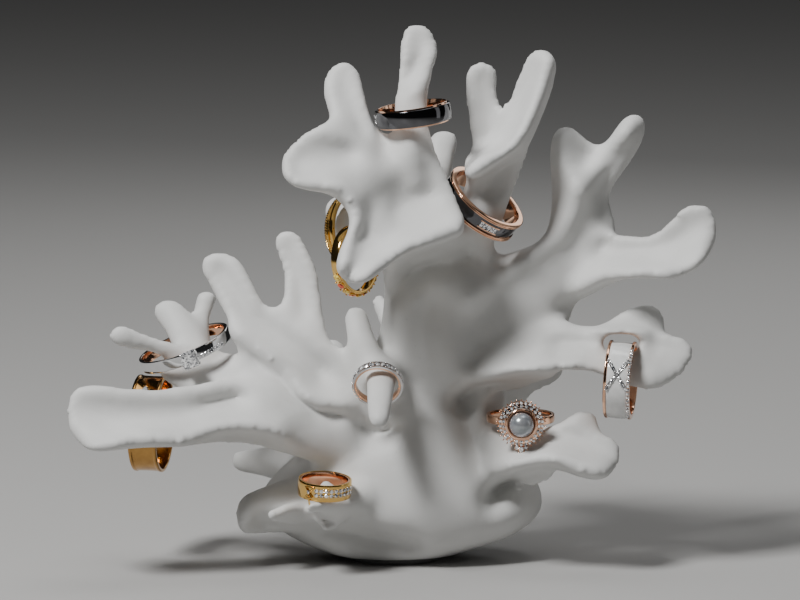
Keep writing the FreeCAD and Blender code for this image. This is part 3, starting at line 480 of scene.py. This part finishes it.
def ring_points():
    """Where the rings are and where their joints take them, so that the skin leaves them room."""
    behaviour = frame["record"]["behaviour"]
    joints = {joint["child"]: joint for joint in behaviour["joints"]}
    found = []
    for body, names in behaviour["bodies"].items():
        if body == "coral":
            continue
        joint = joints[body]
        way = Vector(joint["axis"]).normalized()
        moves = []
        if joint["type"] == "slide":
            moves = [Matrix.Translation(way * joint["range_m"][1] * share) for share in SLIDE_STOPS]
        elif "range_deg" in joint:
            pivot = Matrix.Translation(joint["pos_m"])
            moves = [pivot @ Matrix.Rotation(math.radians(turn), 4, way) @ pivot.inverted()
                     for turn in joint["range_deg"] if turn]
        for name in names:
            points = [v.co for v in frame["nodes"][name].data.vertices]
            found += points
            found += [move @ point for point in points[::THINNED] for move in moves]
    tree = KDTree(len(found))
    for number, point in enumerate(found):
        tree.insert(point, number)
    tree.balance()
    return tree


def swollen(piece, tree, amount):
    """Move the skin along its normals, less and less toward a ring or the foot."""
    mesh = piece.data
    points = vectors(mesh.vertices, "co")
    normals = vectors(mesh.vertex_normals, "vector")
    reach = np.array([tree.find(point)[2] for point in points])
    share = np.clip((reach - WEB_FREE) / WEB_EASE, 0, 1) * np.clip((points[:, 2] - FOOT_FREE) / FOOT_EASE, 0, 1)
    mesh.vertices.foreach_set("co", (points + normals * (share * amount)[:, None]).astype(np.float32).ravel())
    mesh.update()


# What the carver's thumb left, along lines drawn over the photograph: points and reach in its pixels, and how many
# steps of CARVED it goes in (hollows) or stands out (ridges).
HOLLOWS_PIXELS = {
    "fan_palm": ([(372, 236), (392, 214), (420, 196)], 22, 11),
    "fan_left_lobe": ([(298, 158), (322, 156), (350, 160)], 10, 8),
    "fan_knob": ([(346, 78), (350, 106), (366, 132)], 8, 6),
    "fan_shoulder": ([(380, 138), (384, 158)], 10, 4),
    "leaf_fold": ([(417, 36), (422, 56), (418, 72), (404, 92)], 5, 6),
    "folded_cup": ([(488, 84), (494, 112), (502, 134), (486, 150)], 9, 12),
    "folded_channel": ([(540, 66), (528, 88), (519, 110)], 5, 6),
    "folded_cave": ([(482, 190), (500, 180), (514, 166)], 10, 20),
    "under_fan": ([(384, 292), (404, 278), (430, 266), (458, 258)], 14, 26),
    "fork_side": ([(606, 168), (600, 192), (606, 216)], 6, 9),
    "fork_palm": ([(566, 148), (584, 162), (612, 152)], 8, 7),
    "hook_palm": ([(606, 252), (644, 250), (674, 240), (692, 226)], 10, 11),
    "limb_pit": ([(566, 312), (580, 300), (606, 286)], 8, 10),
    "middle_cave": ([(460, 408), (484, 394), (530, 386), (584, 384)], 9, 24),
    "middle_palm": ([(560, 352), (600, 350), (640, 352), (672, 360)], 11, 9),
    "low_cave": ([(492, 502), (522, 484), (556, 476)], 9, 18),
    "low_palm": ([(550, 440), (580, 446), (604, 456)], 9, 8),
    "arm_palm": ([(92, 412), (130, 417), (185, 416), (240, 404)], 11, 9),
    "arm_cave": ([(140, 456), (190, 458), (232, 444), (268, 448), (298, 466)], 9, 22),
    "frond_step": ([(228, 338), (256, 360), (280, 378), (298, 400), (316, 413), (340, 417)], 5, 8),
    "frond_palm": ([(262, 332), (292, 352), (322, 376)], 12, 9),
    "finger_channel": ([(290, 250), (300, 282), (304, 316)], 7, 6),
    "knuckle_channel": ([(222, 272), (240, 300), (252, 322)], 7, 6),
    "lobe_cave": ([(262, 524), (282, 522), (300, 516), (322, 520)], 10, 6),
    "trunk_valley": ([(430, 300), (424, 340), (430, 380)], 15, 5),
    "trunk_side": ([(462, 412), (470, 440), (482, 462)], 12, 8),
    "foot_valley": ([(330, 528), (364, 540), (410, 548)], 10, 8),
    "stub_foot": ([(362, 428), (376, 440), (392, 434)], 8, 8),
}
RIDGES_PIXELS = {
    "fan_left_rim": ([(284, 168), (300, 186), (340, 187), (356, 203), (359, 222), (351, 242), (345, 268)], 6, 9),
    "fan_low_rim": ([(362, 284), (379, 268), (402, 252), (424, 243), (446, 234), (462, 226)], 6, 10),
    "fan_spine": ([(412, 136), (413, 160), (416, 186)], 8, 4),
    "leaf_rim": ([(430, 60), (428, 76), (414, 96)], 4, 5),
    "folded_rim": ([(547, 62), (536, 98), (524, 126), (506, 152), (486, 165), (471, 174), (466, 190)], 6, 10),
    "limb_spine": ([(470, 300), (520, 262), (560, 236), (578, 196), (560, 140)], 9, 6),
    "fork_spine": ([(580, 190), (606, 160), (630, 126)], 6, 6),
    "hook_rim": ([(580, 290), (606, 274), (648, 271), (680, 278), (708, 258)], 6, 9),
    "middle_rim": ([(476, 378), (519, 370), (570, 370), (606, 379)], 6, 11),
    "low_rim": ([(512, 462), (546, 454), (576, 466), (602, 472)], 6, 9),
    "arm_rim": ([(98, 447), (120, 441), (154, 437), (190, 438), (216, 427), (244, 423), (278, 429), (302, 449)],
                6, 10),
    "frond_edge": ([(236, 330), (266, 352), (290, 372), (306, 396), (324, 406), (352, 404)], 6, 6),
    "lobe_rim": ([(246, 528), (256, 512), (282, 510), (296, 514)], 5, 3),
}
# Where a tip or a side is broader than the solid, or narrower below zero: points, reach and growth in pixels
BROADER_PIXELS = {
    "leaf_side": ([(426, 44), (430, 62), (427, 80)], 9, 6),
    "leaf_tip": ([(415, 26), (418, 36)], 7, 6),
    "finger_tip": ([(289, 232), (291, 244)], 9, 6),
    "prong_tip": ([(478, 72), (494, 78)], 9, 3),
    "folded_tip": ([(536, 56), (546, 62)], 8, 3),
    "fork_tip": ([(556, 126), (568, 132)], 8, 2),
    "cluster_tips": ([(122, 336), (166, 310), (210, 300)], 9, 3),
    "knuckle_tip": ([(214, 262), (232, 264)], 9, 2),
    "cave_corner": ([(498, 404), (520, 400)], 13, 14),
    "limb_notch": ([(562, 322), (574, 316)], 9, 12),
    "branch_foot": ([(500, 246), (528, 240)], 10, -8),
    "stub_tip": ([(444, 138), (448, 142)], 8, 5),
}


def stroke_share(places, line, reach):
    """How much of a stroke reaches each place: whole on its line, none beyond its reach."""
    nearest = np.full(len(places), 1e9)
    for start, stop in zip(line, line[1:]):
        start, along = np.array(start, float), np.subtract(stop, start)
        share = np.clip((places - start) @ along / (along @ along), 0, 1)
        nearest = np.minimum(nearest, np.linalg.norm(places - start - share[:, None] * along, axis=1))
    return np.exp(-(nearest / reach) ** 2)


def thicknesses(mesh, points):
    """How far the skin's back lies behind each of its points, seen from the front."""
    shell = bmesh.new()
    shell.from_mesh(mesh)
    tree = BVHTree.FromBMesh(shell)
    shell.free()
    found = np.full(len(points), THICKEST)
    for number, point in enumerate(points):
        reach = tree.ray_cast(Vector(point) + Vector((0, RAY_START, 0)), (0, 1, 0))[3]
        if reach is not None:
            found[number] = reach
    return found


def evened(mesh, amounts, passes=10):
    """Average an amount at each point with its neighbours', a few times over."""
    ends = np.zeros(len(mesh.edges) * 2, np.int32)
    mesh.edges.foreach_get("vertices", ends)
    first, second = ends.reshape(-1, 2).T
    count = np.bincount(ends, minlength=len(amounts)).clip(1)
    for _ in range(passes):
        near = np.bincount(first, amounts[second], len(amounts)) + np.bincount(second, amounts[first], len(amounts))
        amounts = (amounts + near / count) / 2
    return amounts


def carved(piece, tree):
    """Press the hollows into the front skin, raise the ridges and broaden the tips, as the photograph shows."""
    mesh = piece.data
    points, normals = vectors(mesh.vertices, "co"), vectors(mesh.vertex_normals, "vector")
    out = -points[:, 1]
    places = np.stack([FOOT_PIXELS[0] + points[:, 0] / PIXEL,
                       FOOT_PIXELS[1] - (points[:, 2] - out * LEAN_SHARE) / PIXEL], axis=1)
    cells = np.round(places / CELL_PIXELS).astype(int)
    front = {}
    for cell, depth in zip(map(tuple, cells), out):
        front[cell] = max(front.get(cell, -1.0), depth)
    hidden = np.array([front[cell] for cell in map(tuple, cells)]) - out
    seen = np.clip((2 * SEEN_DEPTH - hidden) / SEEN_DEPTH, 0, 1)
    toward = -normals[:, 1] * FRONT_SHARE + normals[:, 2] * LEAN_SHARE
    facing = np.clip((toward + FACING_START) / FACING_EASE, 0, 1)
    reach = np.array([tree.find(point)[2] for point in points])
    clear = np.clip((reach - CARVED_FREE) / CARVED_EASE, 0, 1)
    press = np.zeros(len(points))
    raise_by = np.zeros(len(points))
    for line, width, depth in HOLLOWS_PIXELS.values():
        press += stroke_share(places, line, width) * depth * CARVED
    for line, width, depth in RIDGES_PIXELS.values():
        raise_by += stroke_share(places, line, width) * depth * CARVED
    press = np.minimum(press, thicknesses(mesh, points) * DEEPEST_SHARE)
    points[:, 1] += evened(mesh, (press - raise_by) * clear * seen * facing)
    grown = np.zeros(len(points))
    for line, width, grow in BROADER_PIXELS.values():
        grown += stroke_share(places, line, width) * grow * PIXEL * clear
    for side in (0, 2):
        points[:, side] += evened(mesh, normals[:, side] * grown)
    mesh.vertices.foreach_set("co", points.astype(np.float32).ravel())
    mesh.update()


def slot_cheeks():
    """What narrows the slot under the right fan's rim to the band that is threaded through it."""
    made = []
    for (left, right), (low, high) in SLOT_CHEEKS:
        mesh = bmesh.new()
        middle = Vector(((left + right) / 2, CHEEK_PLACE, (low + high) / 2)) * MM
        bmesh.ops.create_cube(mesh, size=MM, matrix=Matrix.Translation(middle)
                              @ Matrix.Diagonal((right - left, CHEEK_DEPTH, high - low, 1)))
        made.append(mesh)
    return joined(made)


def make_coral():
    """The fronds as one casting: joined, their creases webbed over, carved and smoothed."""
    mesh = bmesh.new()
    for name in CORAL_NODES:
        mesh.from_mesh(frame["nodes"][name].data)
    bmesh.ops.remove_doubles(mesh, verts=mesh.verts, dist=1e-6)
    joined([mesh, slot_cheeks()])
    piece = finished("coral", mesh, PORCELAIN, "coral", CORAL_NODES, 0)
    tree = ring_points()
    evaluated(piece, "REMESH", mode="VOXEL", voxel_size=VOXEL)
    evaluated(piece, "SMOOTH", factor=0.5, iterations=ROUGH_PASSES)
    swollen(piece, tree, WEB)
    evaluated(piece, "REMESH", mode="VOXEL", voxel_size=VOXEL)
    evaluated(piece, "SMOOTH", factor=0.5, iterations=WEB_PASSES)
    swollen(piece, tree, -WEB)
    carved(piece, tree)
    evaluated(piece, "REMESH", mode="VOXEL", voxel_size=FINE_VOXEL)
    evaluated(piece, "SMOOTH", factor=0.5, iterations=FINE_PASSES)
    swollen(piece, tree, SHRUNK)
    piece.data.materials.clear()
    piece.data.materials.append(PORCELAIN.material)
    piece.data.shade_smooth()
    return piece


def make_felt():
    """The oval pad with a rounded edge."""
    low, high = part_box("felt_pad")
    mesh = bmesh.new()
    bmesh.ops.create_circle(mesh, cap_ends=True, segments=96, radius=1.0)
    half = (high - low) / 2
    bmesh.ops.scale(mesh, vec=(half.x, half.y, 1.0), verts=mesh.verts)
    lifted = bmesh.ops.extrude_face_region(mesh, geom=list(mesh.faces))["geom"]
    bmesh.ops.translate(mesh, vec=(0, 0, high.z), verts=[v for v in lifted if isinstance(v, bmesh.types.BMVert)])
    softened(tidied(mesh, 1e-6), 0.4 * MM, 3)
    return finished("felt_foot", mesh, FELT, "coral", ["felt_pad"])


make_coral()
make_felt()


# The rings, each built in millimetres about its own middle

def domed(inside, outside, half, crown, steps=7):
    """An outline for a band whose outer face swells by crown between its edges."""
    outline = [(inside, -half), (inside, half)]
    for step in range(steps):
        share = 1 - 2 * step / (steps - 1)
        outline.append((outside + crown * (1 - share * share), half * share))
    return outline


def two_tone():
    ring = Ring("two_tone_body", "two_tone_liner", (-0.14, 1, 0.02), (0, 0, 1))
    half = ring.top
    ring.piece("liner", spun(domed(9.3, 9.72, half, 0.08), soft=0.12), ROSE, "rose_gold", ["two_tone_liner"])
    # The band is polished silver painted near black: a painted dark reflection.
    ring.piece("polished_band", spun(domed(9.8, 10.42, half * 0.84, 0.28), soft=0.15), PAINTED_DARK_REFLECTION, "silver",
               ["two_tone_band"])
    angles = spread(-84, -76, 3)
    gems = stone_row(10.62, angles, 1.0, 1.1) + stone_row(10.62, angles, -0.3, 1.1)
    ring.piece("side_gems", gems, CLEAR, "clear_stone", smooth=0)
    ring.piece("side_beads", bead_pairs(10.75, angles, 0.35, 2.4, 0.16), SILVER, "silver")


def rail():
    ring = Ring("rail_body", "rail_band", (0.57, 0.75, 0.30), (0, 0, 1))
    half = ring.top
    edge = [(10.4, half - 0.25), (10.6, half), (11.9, half), (12.2, half - 0.12), (12.25, half - 0.38),
            (12.02, half - 0.5), (12.22, half - 0.64), (12.15, half - 0.95), (11.55, half - 1.1)]
    outline = edge + [(radius, -height) for radius, height in reversed(edge)]
    ring.piece("railed_hoop", spun(outline, soft=0.05), ROSE, "rose_gold", ["rail_band"])
    # The mirror face is polished silver painted near black: a painted dark reflection.
    ring.piece("mirror_face", spun(domed(11.56, 11.72, half - 1.12, 0.2), steps=140), PAINTED_DARK_REFLECTION, "silver",
               ["rail_inlay"])
    angles = spread(12, 34, 5)
    bars = []
    for angle in angles:
        bar = princess(1.0)
        bars.append(placed(bar, Matrix.Diagonal((1.7, 0.95, 0.6, 1)), round_ring(12.02, angle, 0)))
    ring.piece("baguettes", bars, CLEAR, "clear_stone", smooth=0)
    frame_bars = [spun([(11.7, side * 1.0 - 0.14), (12.15, side * 1.0 - 0.14), (12.15, side * 1.0 + 0.14),
                        (11.7, side * 1.0 + 0.14)], 16, 8, 30) for side in (-1, 1)]
    ring.piece("baguette_rails", frame_bars, ROSE, "rose_gold")


def solitaire():
    ring = Ring("solitaire_body", "solitaire_band", (-0.36, 0.93, 0.10), (0.1, 0, 1))
    half = ring.top
    ring.piece("thin_hoop", spun(domed(12.62, 13.25, half, 0.14), soft=0.12), SILVER, "silver",
               ["solitaire_band"])
    ring.piece("hoop_lining", spun(domed(12.2, 12.6, half * 0.97, 0.0), soft=0.1), ROSE, "rose_gold")
    head = round_ring(13.3, 0, 0)
    stone = placed(princess(4.9), Matrix.Translation((0, 0, 2.2)), head)
    ring.piece("square_gem", [stone], CLEAR, "clear_stone", ["solitaire_stone"], smooth=0)
    claws = []
    for quarter in range(4):
        turn = Matrix.Rotation(math.radians(45 + 90 * quarter), 4, "Z")
        claw = spun([(0.0, -2.4), (0.42, -2.4), (0.34, -0.6), (0.30, 0.2), (0.0, 0.36)], 12, soft=0.05)
        lean = Matrix.Rotation(math.radians(14), 4, "Y")
        claws.append(placed(claw, Matrix.Translation((0, 0, 2.2)), lean, Matrix.Translation((2.35, 0, 0)), turn,
                            head))
        tip = bead(0.45, (2.78, 0, 2.5), 0.75)
        claws.append(placed(tip, turn, head))
    basket = spun([(1.1, 0.15), (1.65, 0.15), (1.75, 0.6), (1.2, 0.6)], 32, soft=0.08)
    gallery = spun([(1.35, 1.05), (1.95, 1.05), (2.05, 1.4), (1.5, 1.4)], 32, soft=0.08)
    ring.piece("basket", claws + [placed(basket, head), placed(gallery, head)], SILVER, "silver",
               ["solitaire_setting"])
    angles = spread(16, 47, 8)
    ring.piece("shoulder_gems", stone_row(13.62, angles, -0.7, 1.05) , CLEAR, "clear_stone",
               ["solitaire_row"], smooth=0)
    ring.piece("shoulder_beads", bead_pairs(13.62, angles, -0.7, 1.05, 0.14), SILVER, "silver")


def hoop():
    ring = Ring("hoop_body", "hoop_band", (-0.98, 0.02, -0.17), (0.1, 0.75, 0.6))
    half = ring.top
    edge = [(12.5, half - 0.15), (12.65, half), (13.3, half), (13.55, half - 0.2), (13.55, half - 0.8),
            (13.35, half - 1.05)]
    outline = edge + [(13.28, 0)] + [(radius, -height) for radius, height in reversed(edge)]
    ring.piece("broad_hoop", spun(outline, 140, soft=0.07), BRONZED, "gold", ["hoop_band"])
    seat = round_ring(13.3, 0, 0)
    gem = placed(brilliant(2.5, 3), Matrix.Diagonal((1, 1, 0.8, 1)), Matrix.Translation((0, 0, 0.75)), seat)
    ring.piece("trilliant", [gem], CLEAR, "clear_stone", ["hoop_stone"], smooth=0)
    cup = spun([(0.75, -0.1), (1.0, -0.1), (1.55, 0.75), (1.45, 0.95), (1.2, 0.75)], 3, soft=0.08)
    ring.piece("trilliant_cup", [placed(cup, Matrix.Rotation(math.radians(0), 4, "Z"), seat)], GOLD, "gold")


def wire_loop(radius, thick, tilt, twist=0, phase=0.0, steps=240):
    """A round wire bent to a hoop; twist winds it round the hoop's line so many times."""
    mesh = bmesh.new()
    loops = []
    for step in range(steps):
        angle = 2 * math.pi * step / steps
        wind = twist * angle + phase
        swing = thick * 0.55 if twist else 0.0
        centre = Vector(((radius + swing * math.cos(wind)) * math.cos(angle),
                         (radius + swing * math.cos(wind)) * math.sin(angle), swing * math.sin(wind)))
        turn = Matrix.Rotation(angle, 4, "Z") @ Matrix.Rotation(math.radians(90), 4, "X")
        made = bmesh.ops.create_circle(mesh, segments=10, radius=thick / 2,
                                       matrix=Matrix.Translation(centre) @ turn)["verts"]
        loops.append(list({edge for vert in made for edge in vert.link_edges}))
    for number in range(steps):
        bmesh.ops.bridge_loops(mesh, edges=loops[number - 1] + loops[number])
    return placed(tidied(mesh, 1e-5), Matrix.Rotation(math.radians(tilt), 4, "Y"))


def crossover():
    ring = Ring("crossover_body", "crossover_ring", (0.8, 0.1, 0.6), (0, 0, 1))
    wires = [wire_loop(9.35, 1.7, 5), wire_loop(9.35, 1.7, -5)]
    ring.piece("crossed_wires", wires, GOLD, "gold", ["crossover_ring"])
    ropes = [wire_loop(9.95, 0.5, 5, 46), wire_loop(9.95, 0.5, 5, 46, math.pi)]
    ring.piece("rope_wire", ropes, GOLD, "gold")


def amber():
    ring = Ring("amber_body", "amber_band", (0.8, 0.1, 0.57), (0, -1, 0))
    half = ring.top
    ring.piece("amber_hoop", spun(domed(8.6, 9.5, half * 0.86, 0.15), soft=0.12), GOLD, "gold", ["amber_band"])
    angles = spread(-66, 66, 9)
    yellow = stone_row(10.0, angles[::2], 0, 2.2, 10)
    red = stone_row(10.0, angles[1::2], 0, 2.0, 10)
    ring.piece("yellow_gems", yellow, YELLOW, "yellow_stone", ["amber_row"], smooth=0)
    ring.piece("red_gems", red, RED, "yellow_stone", smooth=0)
    ring.piece("amber_prongs", bead_pairs(10.15, angles, 0, 2.0, 0.3), GOLD, "gold")
    cups = [placed(spun([(0.6, -0.75), (0.85, -0.75), (1.12, 0.0), (0.98, 0.05)], 20), round_ring(10.0, angle, 0))
            for angle in angles]
    ring.piece("amber_cups", cups, GOLD, "gold")


def eternity():
    ring = Ring("eternity_body", "eternity_band", (-0.02, -0.5, 0.87), (0, 1, 0))
    half = ring.top
    ring.piece("eternity_lining", spun(domed(5.9, 6.45, half, 0.0), soft=0.1), ROSE, "rose_gold",
               ["eternity_band"])
    rails = [spun([(6.46, side * half * 0.97 - 0.13), (7.05, side * half * 0.97 - 0.13),
                   (7.05, side * half * 0.97 + 0.13), (6.46, side * half * 0.97 + 0.13)], soft=0.05)
             for side in (-1, 1)]
    ring.piece("eternity_rails", rails, SILVER, "silver")
    angles = spread(0, 360 - 360 / 28, 28)
    ring.piece("eternity_gems", stone_row(7.0, angles, 0, 1.62), CLEAR, "clear_stone", ["eternity_row"],
               smooth=0)
    ring.piece("eternity_beads", bead_pairs(7.1, angles, 0, 1.5, 0.17), SILVER, "silver")


def rod(start, stop, thick):
    """A round rod with rounded ends from one point to another."""
    start, stop = Vector(start), Vector(stop)
    way = stop - start
    mesh = bmesh.new()
    bmesh.ops.create_cone(mesh, cap_ends=True, segments=10, radius1=thick / 2, radius2=thick / 2,
                          depth=way.length)
    placed(mesh, way.to_track_quat("Z", "Y").to_matrix().to_4x4(), Matrix.Translation((start + stop) / 2))
    return joined([mesh, bead(thick / 2, start), bead(thick / 2, stop)])


def claw():
    ring = Ring("claw_body", "claw_band", (0.05, 1, 0.12), (-0.7, 0, 1))
    half = ring.top
    ring.piece("claw_hoop", spun(domed(6.85, 7.35, half, 0.15), soft=0.12), GOLD, "gold", ["claw_band"])
    ring.piece("claw_lining", spun(domed(6.4, 6.83, half * 0.94, 0.0), soft=0.1), ROSE, "rose_gold")
    angles = spread(18, 104, 9)
    gems = stone_row(7.62, angles, 0.72, 1.15) + stone_row(7.62, angles, -0.5, 1.15)
    ring.piece("claw_gems", gems, CLEAR, "clear_stone", ["claw_row"], smooth=0)
    beads = bead_pairs(7.72, angles, 0.1, 1.3, 0.15) + bead_pairs(7.72, angles, 0.1, 2.8, 0.15)
    ring.piece("claw_beads", beads, SILVER, "silver")
    front = round_ring(7.6, 2, 0)
    rods = [rod((-1.5, -1.35, 0.1), (1.3, 0.9, 0.35), 0.46), rod((-1.5, 1.35, 0.1), (1.3, -0.9, 0.35), 0.46),
            rod((1.3, 0.9, 0.35), (1.7, 0.0, 0.3), 0.4), rod((1.3, -0.9, 0.35), (1.7, 0.0, 0.3), 0.4),
            rod((1.6, 0.0, 0.3), (4.0, 0.35, -0.1), 0.55), rod((-1.5, -1.35, 0.1), (-1.5, 1.35, 0.1), 0.35)]
    ring.piece("claw_prong", [placed(part, front) for part in rods], GOLD, "gold")
    gem = placed(brilliant(1.0), Matrix.Translation((-0.2, 0, 0.55)), front)
    ring.piece("claw_gem", [gem], CLEAR, "clear_stone", smooth=0)


def pearl():
    ring = Ring("pearl_body", "pearl_band", (0, 1, 0), (0, 0, 1))
    half = ring.top
    ring.piece("pearl_hoop", spun(domed(8.5, 9.4, half, 0.15), soft=0.12), ROSE, "rose_gold", ["pearl_band"])
    head = round_ring(9.6, 0, 0)
    cup = spun([(0.0, 0.1), (2.6, 0.1), (4.3, 2.5), (4.0, 2.75), (3.6, 2.4), (2.2, 0.6), (0.0, 0.5)], 64, soft=0.08)
    ring.piece("pearl_bezel", [placed(cup, head)], ROSE, "rose_gold", ["pearl_cup"])
    ball = bmesh.new()
    bmesh.ops.create_uvsphere(ball, u_segments=64, v_segments=40, radius=3.4)
    ring.piece("pearl_ball", [placed(ball, Matrix.Translation((0, 0, 4.0)), head)], NACRE, "pearl", ["pearl"])
    plate = spun([(4.35, 1.1), (6.1, 1.1), (6.3, 1.5), (6.1, 1.9), (5.4, 2.1), (4.5, 2.5)], 72, soft=0.06)
    tail = spun([(0.0, 1.1), (1.1, 1.1), (1.25, 1.5), (1.0, 1.9), (0.0, 1.9)], 24, soft=0.06)
    tails = [placed(tail.copy(), Matrix.Scale(share, 4), Matrix.Translation((reach, aside, 1.5 * (1 - share))))
             for reach, aside, share in PEARL_TAIL]
    tail.free()
    ring.piece("halo_plate", [placed(part, head) for part in [plate] + tails], ROSE, "rose_gold", ["pearl_halo"])
    gems = []
    prongs = []
    for count, reach, across, level in ((22, 4.95, 1.05, 2.3), (30, 5.85, 0.92, 2.05)):
        for number in range(count):
            turn = Matrix.Rotation(2 * math.pi * number / count, 4, "Z")
            gems.append(placed(brilliant(across), Matrix.Translation((reach, 0, level)), turn, head))
            between = turn @ Matrix.Rotation(math.pi / count, 4, "Z")
            prongs.append(placed(bead(0.15, (reach, 0, level + 0.1)), between, head))
            if reach > 5.5:
                prongs.append(placed(rod((reach + 0.3, 0, 1.6), (reach + 0.95, 0, 2.1), 0.3), turn, head))
    for reach, aside, share in PEARL_TAIL:
        gems.append(placed(brilliant(1.9 * share), Matrix.Translation((reach, aside, 2.1)), head))
        prongs += [placed(bead(0.18, (reach + 0.7 * share, aside + side * 0.9 * share, 2.15)), head)
                   for side in (-1, 1)]
    ring.piece("halo_gems", gems, CLEAR, "clear_stone", smooth=0)
    ring.piece("halo_prongs", prongs, ROSE, "rose_gold")


def cross():
    ring = Ring("cross_body", "cross_band", (0.985, -0.05, 0.16), (0, 0, 1))
    half = ring.top
    rim = half - 0.85
    edge = [(9.3, half - 0.1), (9.45, half), (10.6, half), (10.85, half - 0.2), (10.85, rim + 0.15),
            (10.7, rim), (10.35, rim)]
    outline = edge + [(radius, -height) for radius, height in reversed(edge)]
    ring.piece("cross_hoop", spun(outline, 140, soft=0.06), ROSE, "rose_gold", ["cross_band"])
    panel = spun(domed(10.36, 10.62, rim - 0.03, 0.14), 110, -82, 164, soft=0.04)
    ring.piece("cross_face", panel, ENAMEL, "silver", ["cross_panel"])
    gems = []
    beads = []
    for side in (-1, 1):
        for share in spread(-1, 1, 9):
            seat = round_ring(10.98, CROSS_TURN + CROSS_SWEEP * share * side, rim * 0.9 * share)
            gems.append(placed(brilliant(0.92), seat))
            for across in (-0.5, 0.5):
                beads.append(placed(bead(0.13, (0.34, across * side, 0.05)), seat))
    ring.piece("strand_gems", gems, CLEAR, "clear_stone", ["cross_strands"], smooth=0)
    wires = []
    for side in (-1, 1):
        for offset in (-3.1, 3.1):
            points = [round_ring(10.9, offset + CROSS_TURN + CROSS_SWEEP * share * side, rim * 0.97 * share)
                      @ Vector((0, 0, 0)) for share in spread(-1, 1, 13)]
            wires += [rod(first, second, 0.3) for first, second in zip(points, points[1:])]
    ring.piece("strand_wires", beads + wires, SILVER, "silver")
    edge_angles = spread(-58, 58, 21)
    ring.piece("edge_gems", stone_row(11.0, edge_angles, rim + 0.45, 0.95), CLEAR, "clear_stone", smooth=0)
    ring.piece("edge_beads", bead_pairs(11.05, edge_angles, rim + 0.45, 0.85, 0.13), SILVER, "silver")


CROSS_TURN = -16      # how far above the middle the strands cross, in degrees
CROSS_SWEEP = 21
PEARL_TAIL = ((7.15, 0.0, 0.8), (6.7, -1.25, 0.6), (6.7, 1.25, 0.6), (8.55, 0.0, 0.55), (9.45, 0.0, 0.35))

two_tone()
rail()
solitaire()
hoop()
crossover()
amber()
eternity()
claw()
pearl()
cross()


# Studio

def make_floor():
    """The plain pale floor."""
    mesh = bmesh.new()
    bmesh.ops.create_grid(mesh, x_segments=1, y_segments=1, size=3.0)
    data = bpy.data.meshes.new("floor")
    mesh.to_mesh(data)
    mesh.free()
    finish = Finish("pale_floor")
    finish.set(Base_Color=(0.42, 0.415, 0.405), Roughness=0.85)
    data.materials.append(finish.material)
    floor = bpy.data.objects.new("floor", data)
    bpy.context.scene.collection.objects.link(floor)


def soft_box(name, place, aim, width, height, power):
    """A rectangular area light aimed at a point."""
    data = bpy.data.lights.new(name, "AREA")
    data.shape = "RECTANGLE"
    data.size = width
    data.size_y = height
    data.energy = power
    light = bpy.data.objects.new(name, data)
    light.location = place
    light.rotation_euler = (Vector(aim) - Vector(place)).to_track_quat("-Z", "Y").to_euler()
    bpy.context.scene.collection.objects.link(light)


def make_studio():
    """The floor, a dim sky and four soft boxes."""
    make_floor()
    world = bpy.data.worlds.new("studio")
    world.use_nodes = True
    world.node_tree.nodes["Background"].inputs["Color"].default_value = (0.55, 0.56, 0.58, 1)
    world.node_tree.nodes["Background"].inputs["Strength"].default_value = 0.03
    bpy.context.scene.world = world
    middle = (0, 0, 0.08)
    soft_box("key_box", (-0.50, -0.50, 0.95), middle, 0.28, 0.28, 16.0)
    soft_box("top_box", (0.10, 0.15, 0.85), middle, 0.5, 0.4, 1.6)
    soft_box("right_box", (0.80, -0.15, 0.30), middle, 0.20, 0.6, 0.25)
    soft_box("back_box", (0.25, 0.7, 0.45), middle, 0.6, 0.3, 0.8)


CAMERA_TURN = 8.0          # degrees down
CAMERA_REACH = 1.6         # metres away
SEEN_WIDTH = 0.224         # metres across the picture at the tree's middle
CAMERA_AIM = (1.7 * MM, 0, 73.1 * MM)


def make_camera():
    """The photograph's view: eight degrees down, from far off."""
    aim = Vector(CAMERA_AIM)
    tilt = math.radians(CAMERA_TURN)
    data = bpy.data.cameras.new("camera")
    data.lens = data.sensor_width * CAMERA_REACH / SEEN_WIDTH
    data.clip_end = 20
    camera = bpy.data.objects.new("camera", data)
    camera.location = aim + Vector((0, -math.cos(tilt), math.sin(tilt))) * CAMERA_REACH
    camera.rotation_euler = (aim - camera.location).to_track_quat("-Z", "Y").to_euler()
    bpy.context.scene.collection.objects.link(camera)
    bpy.context.scene.camera = camera


make_studio()
make_camera()
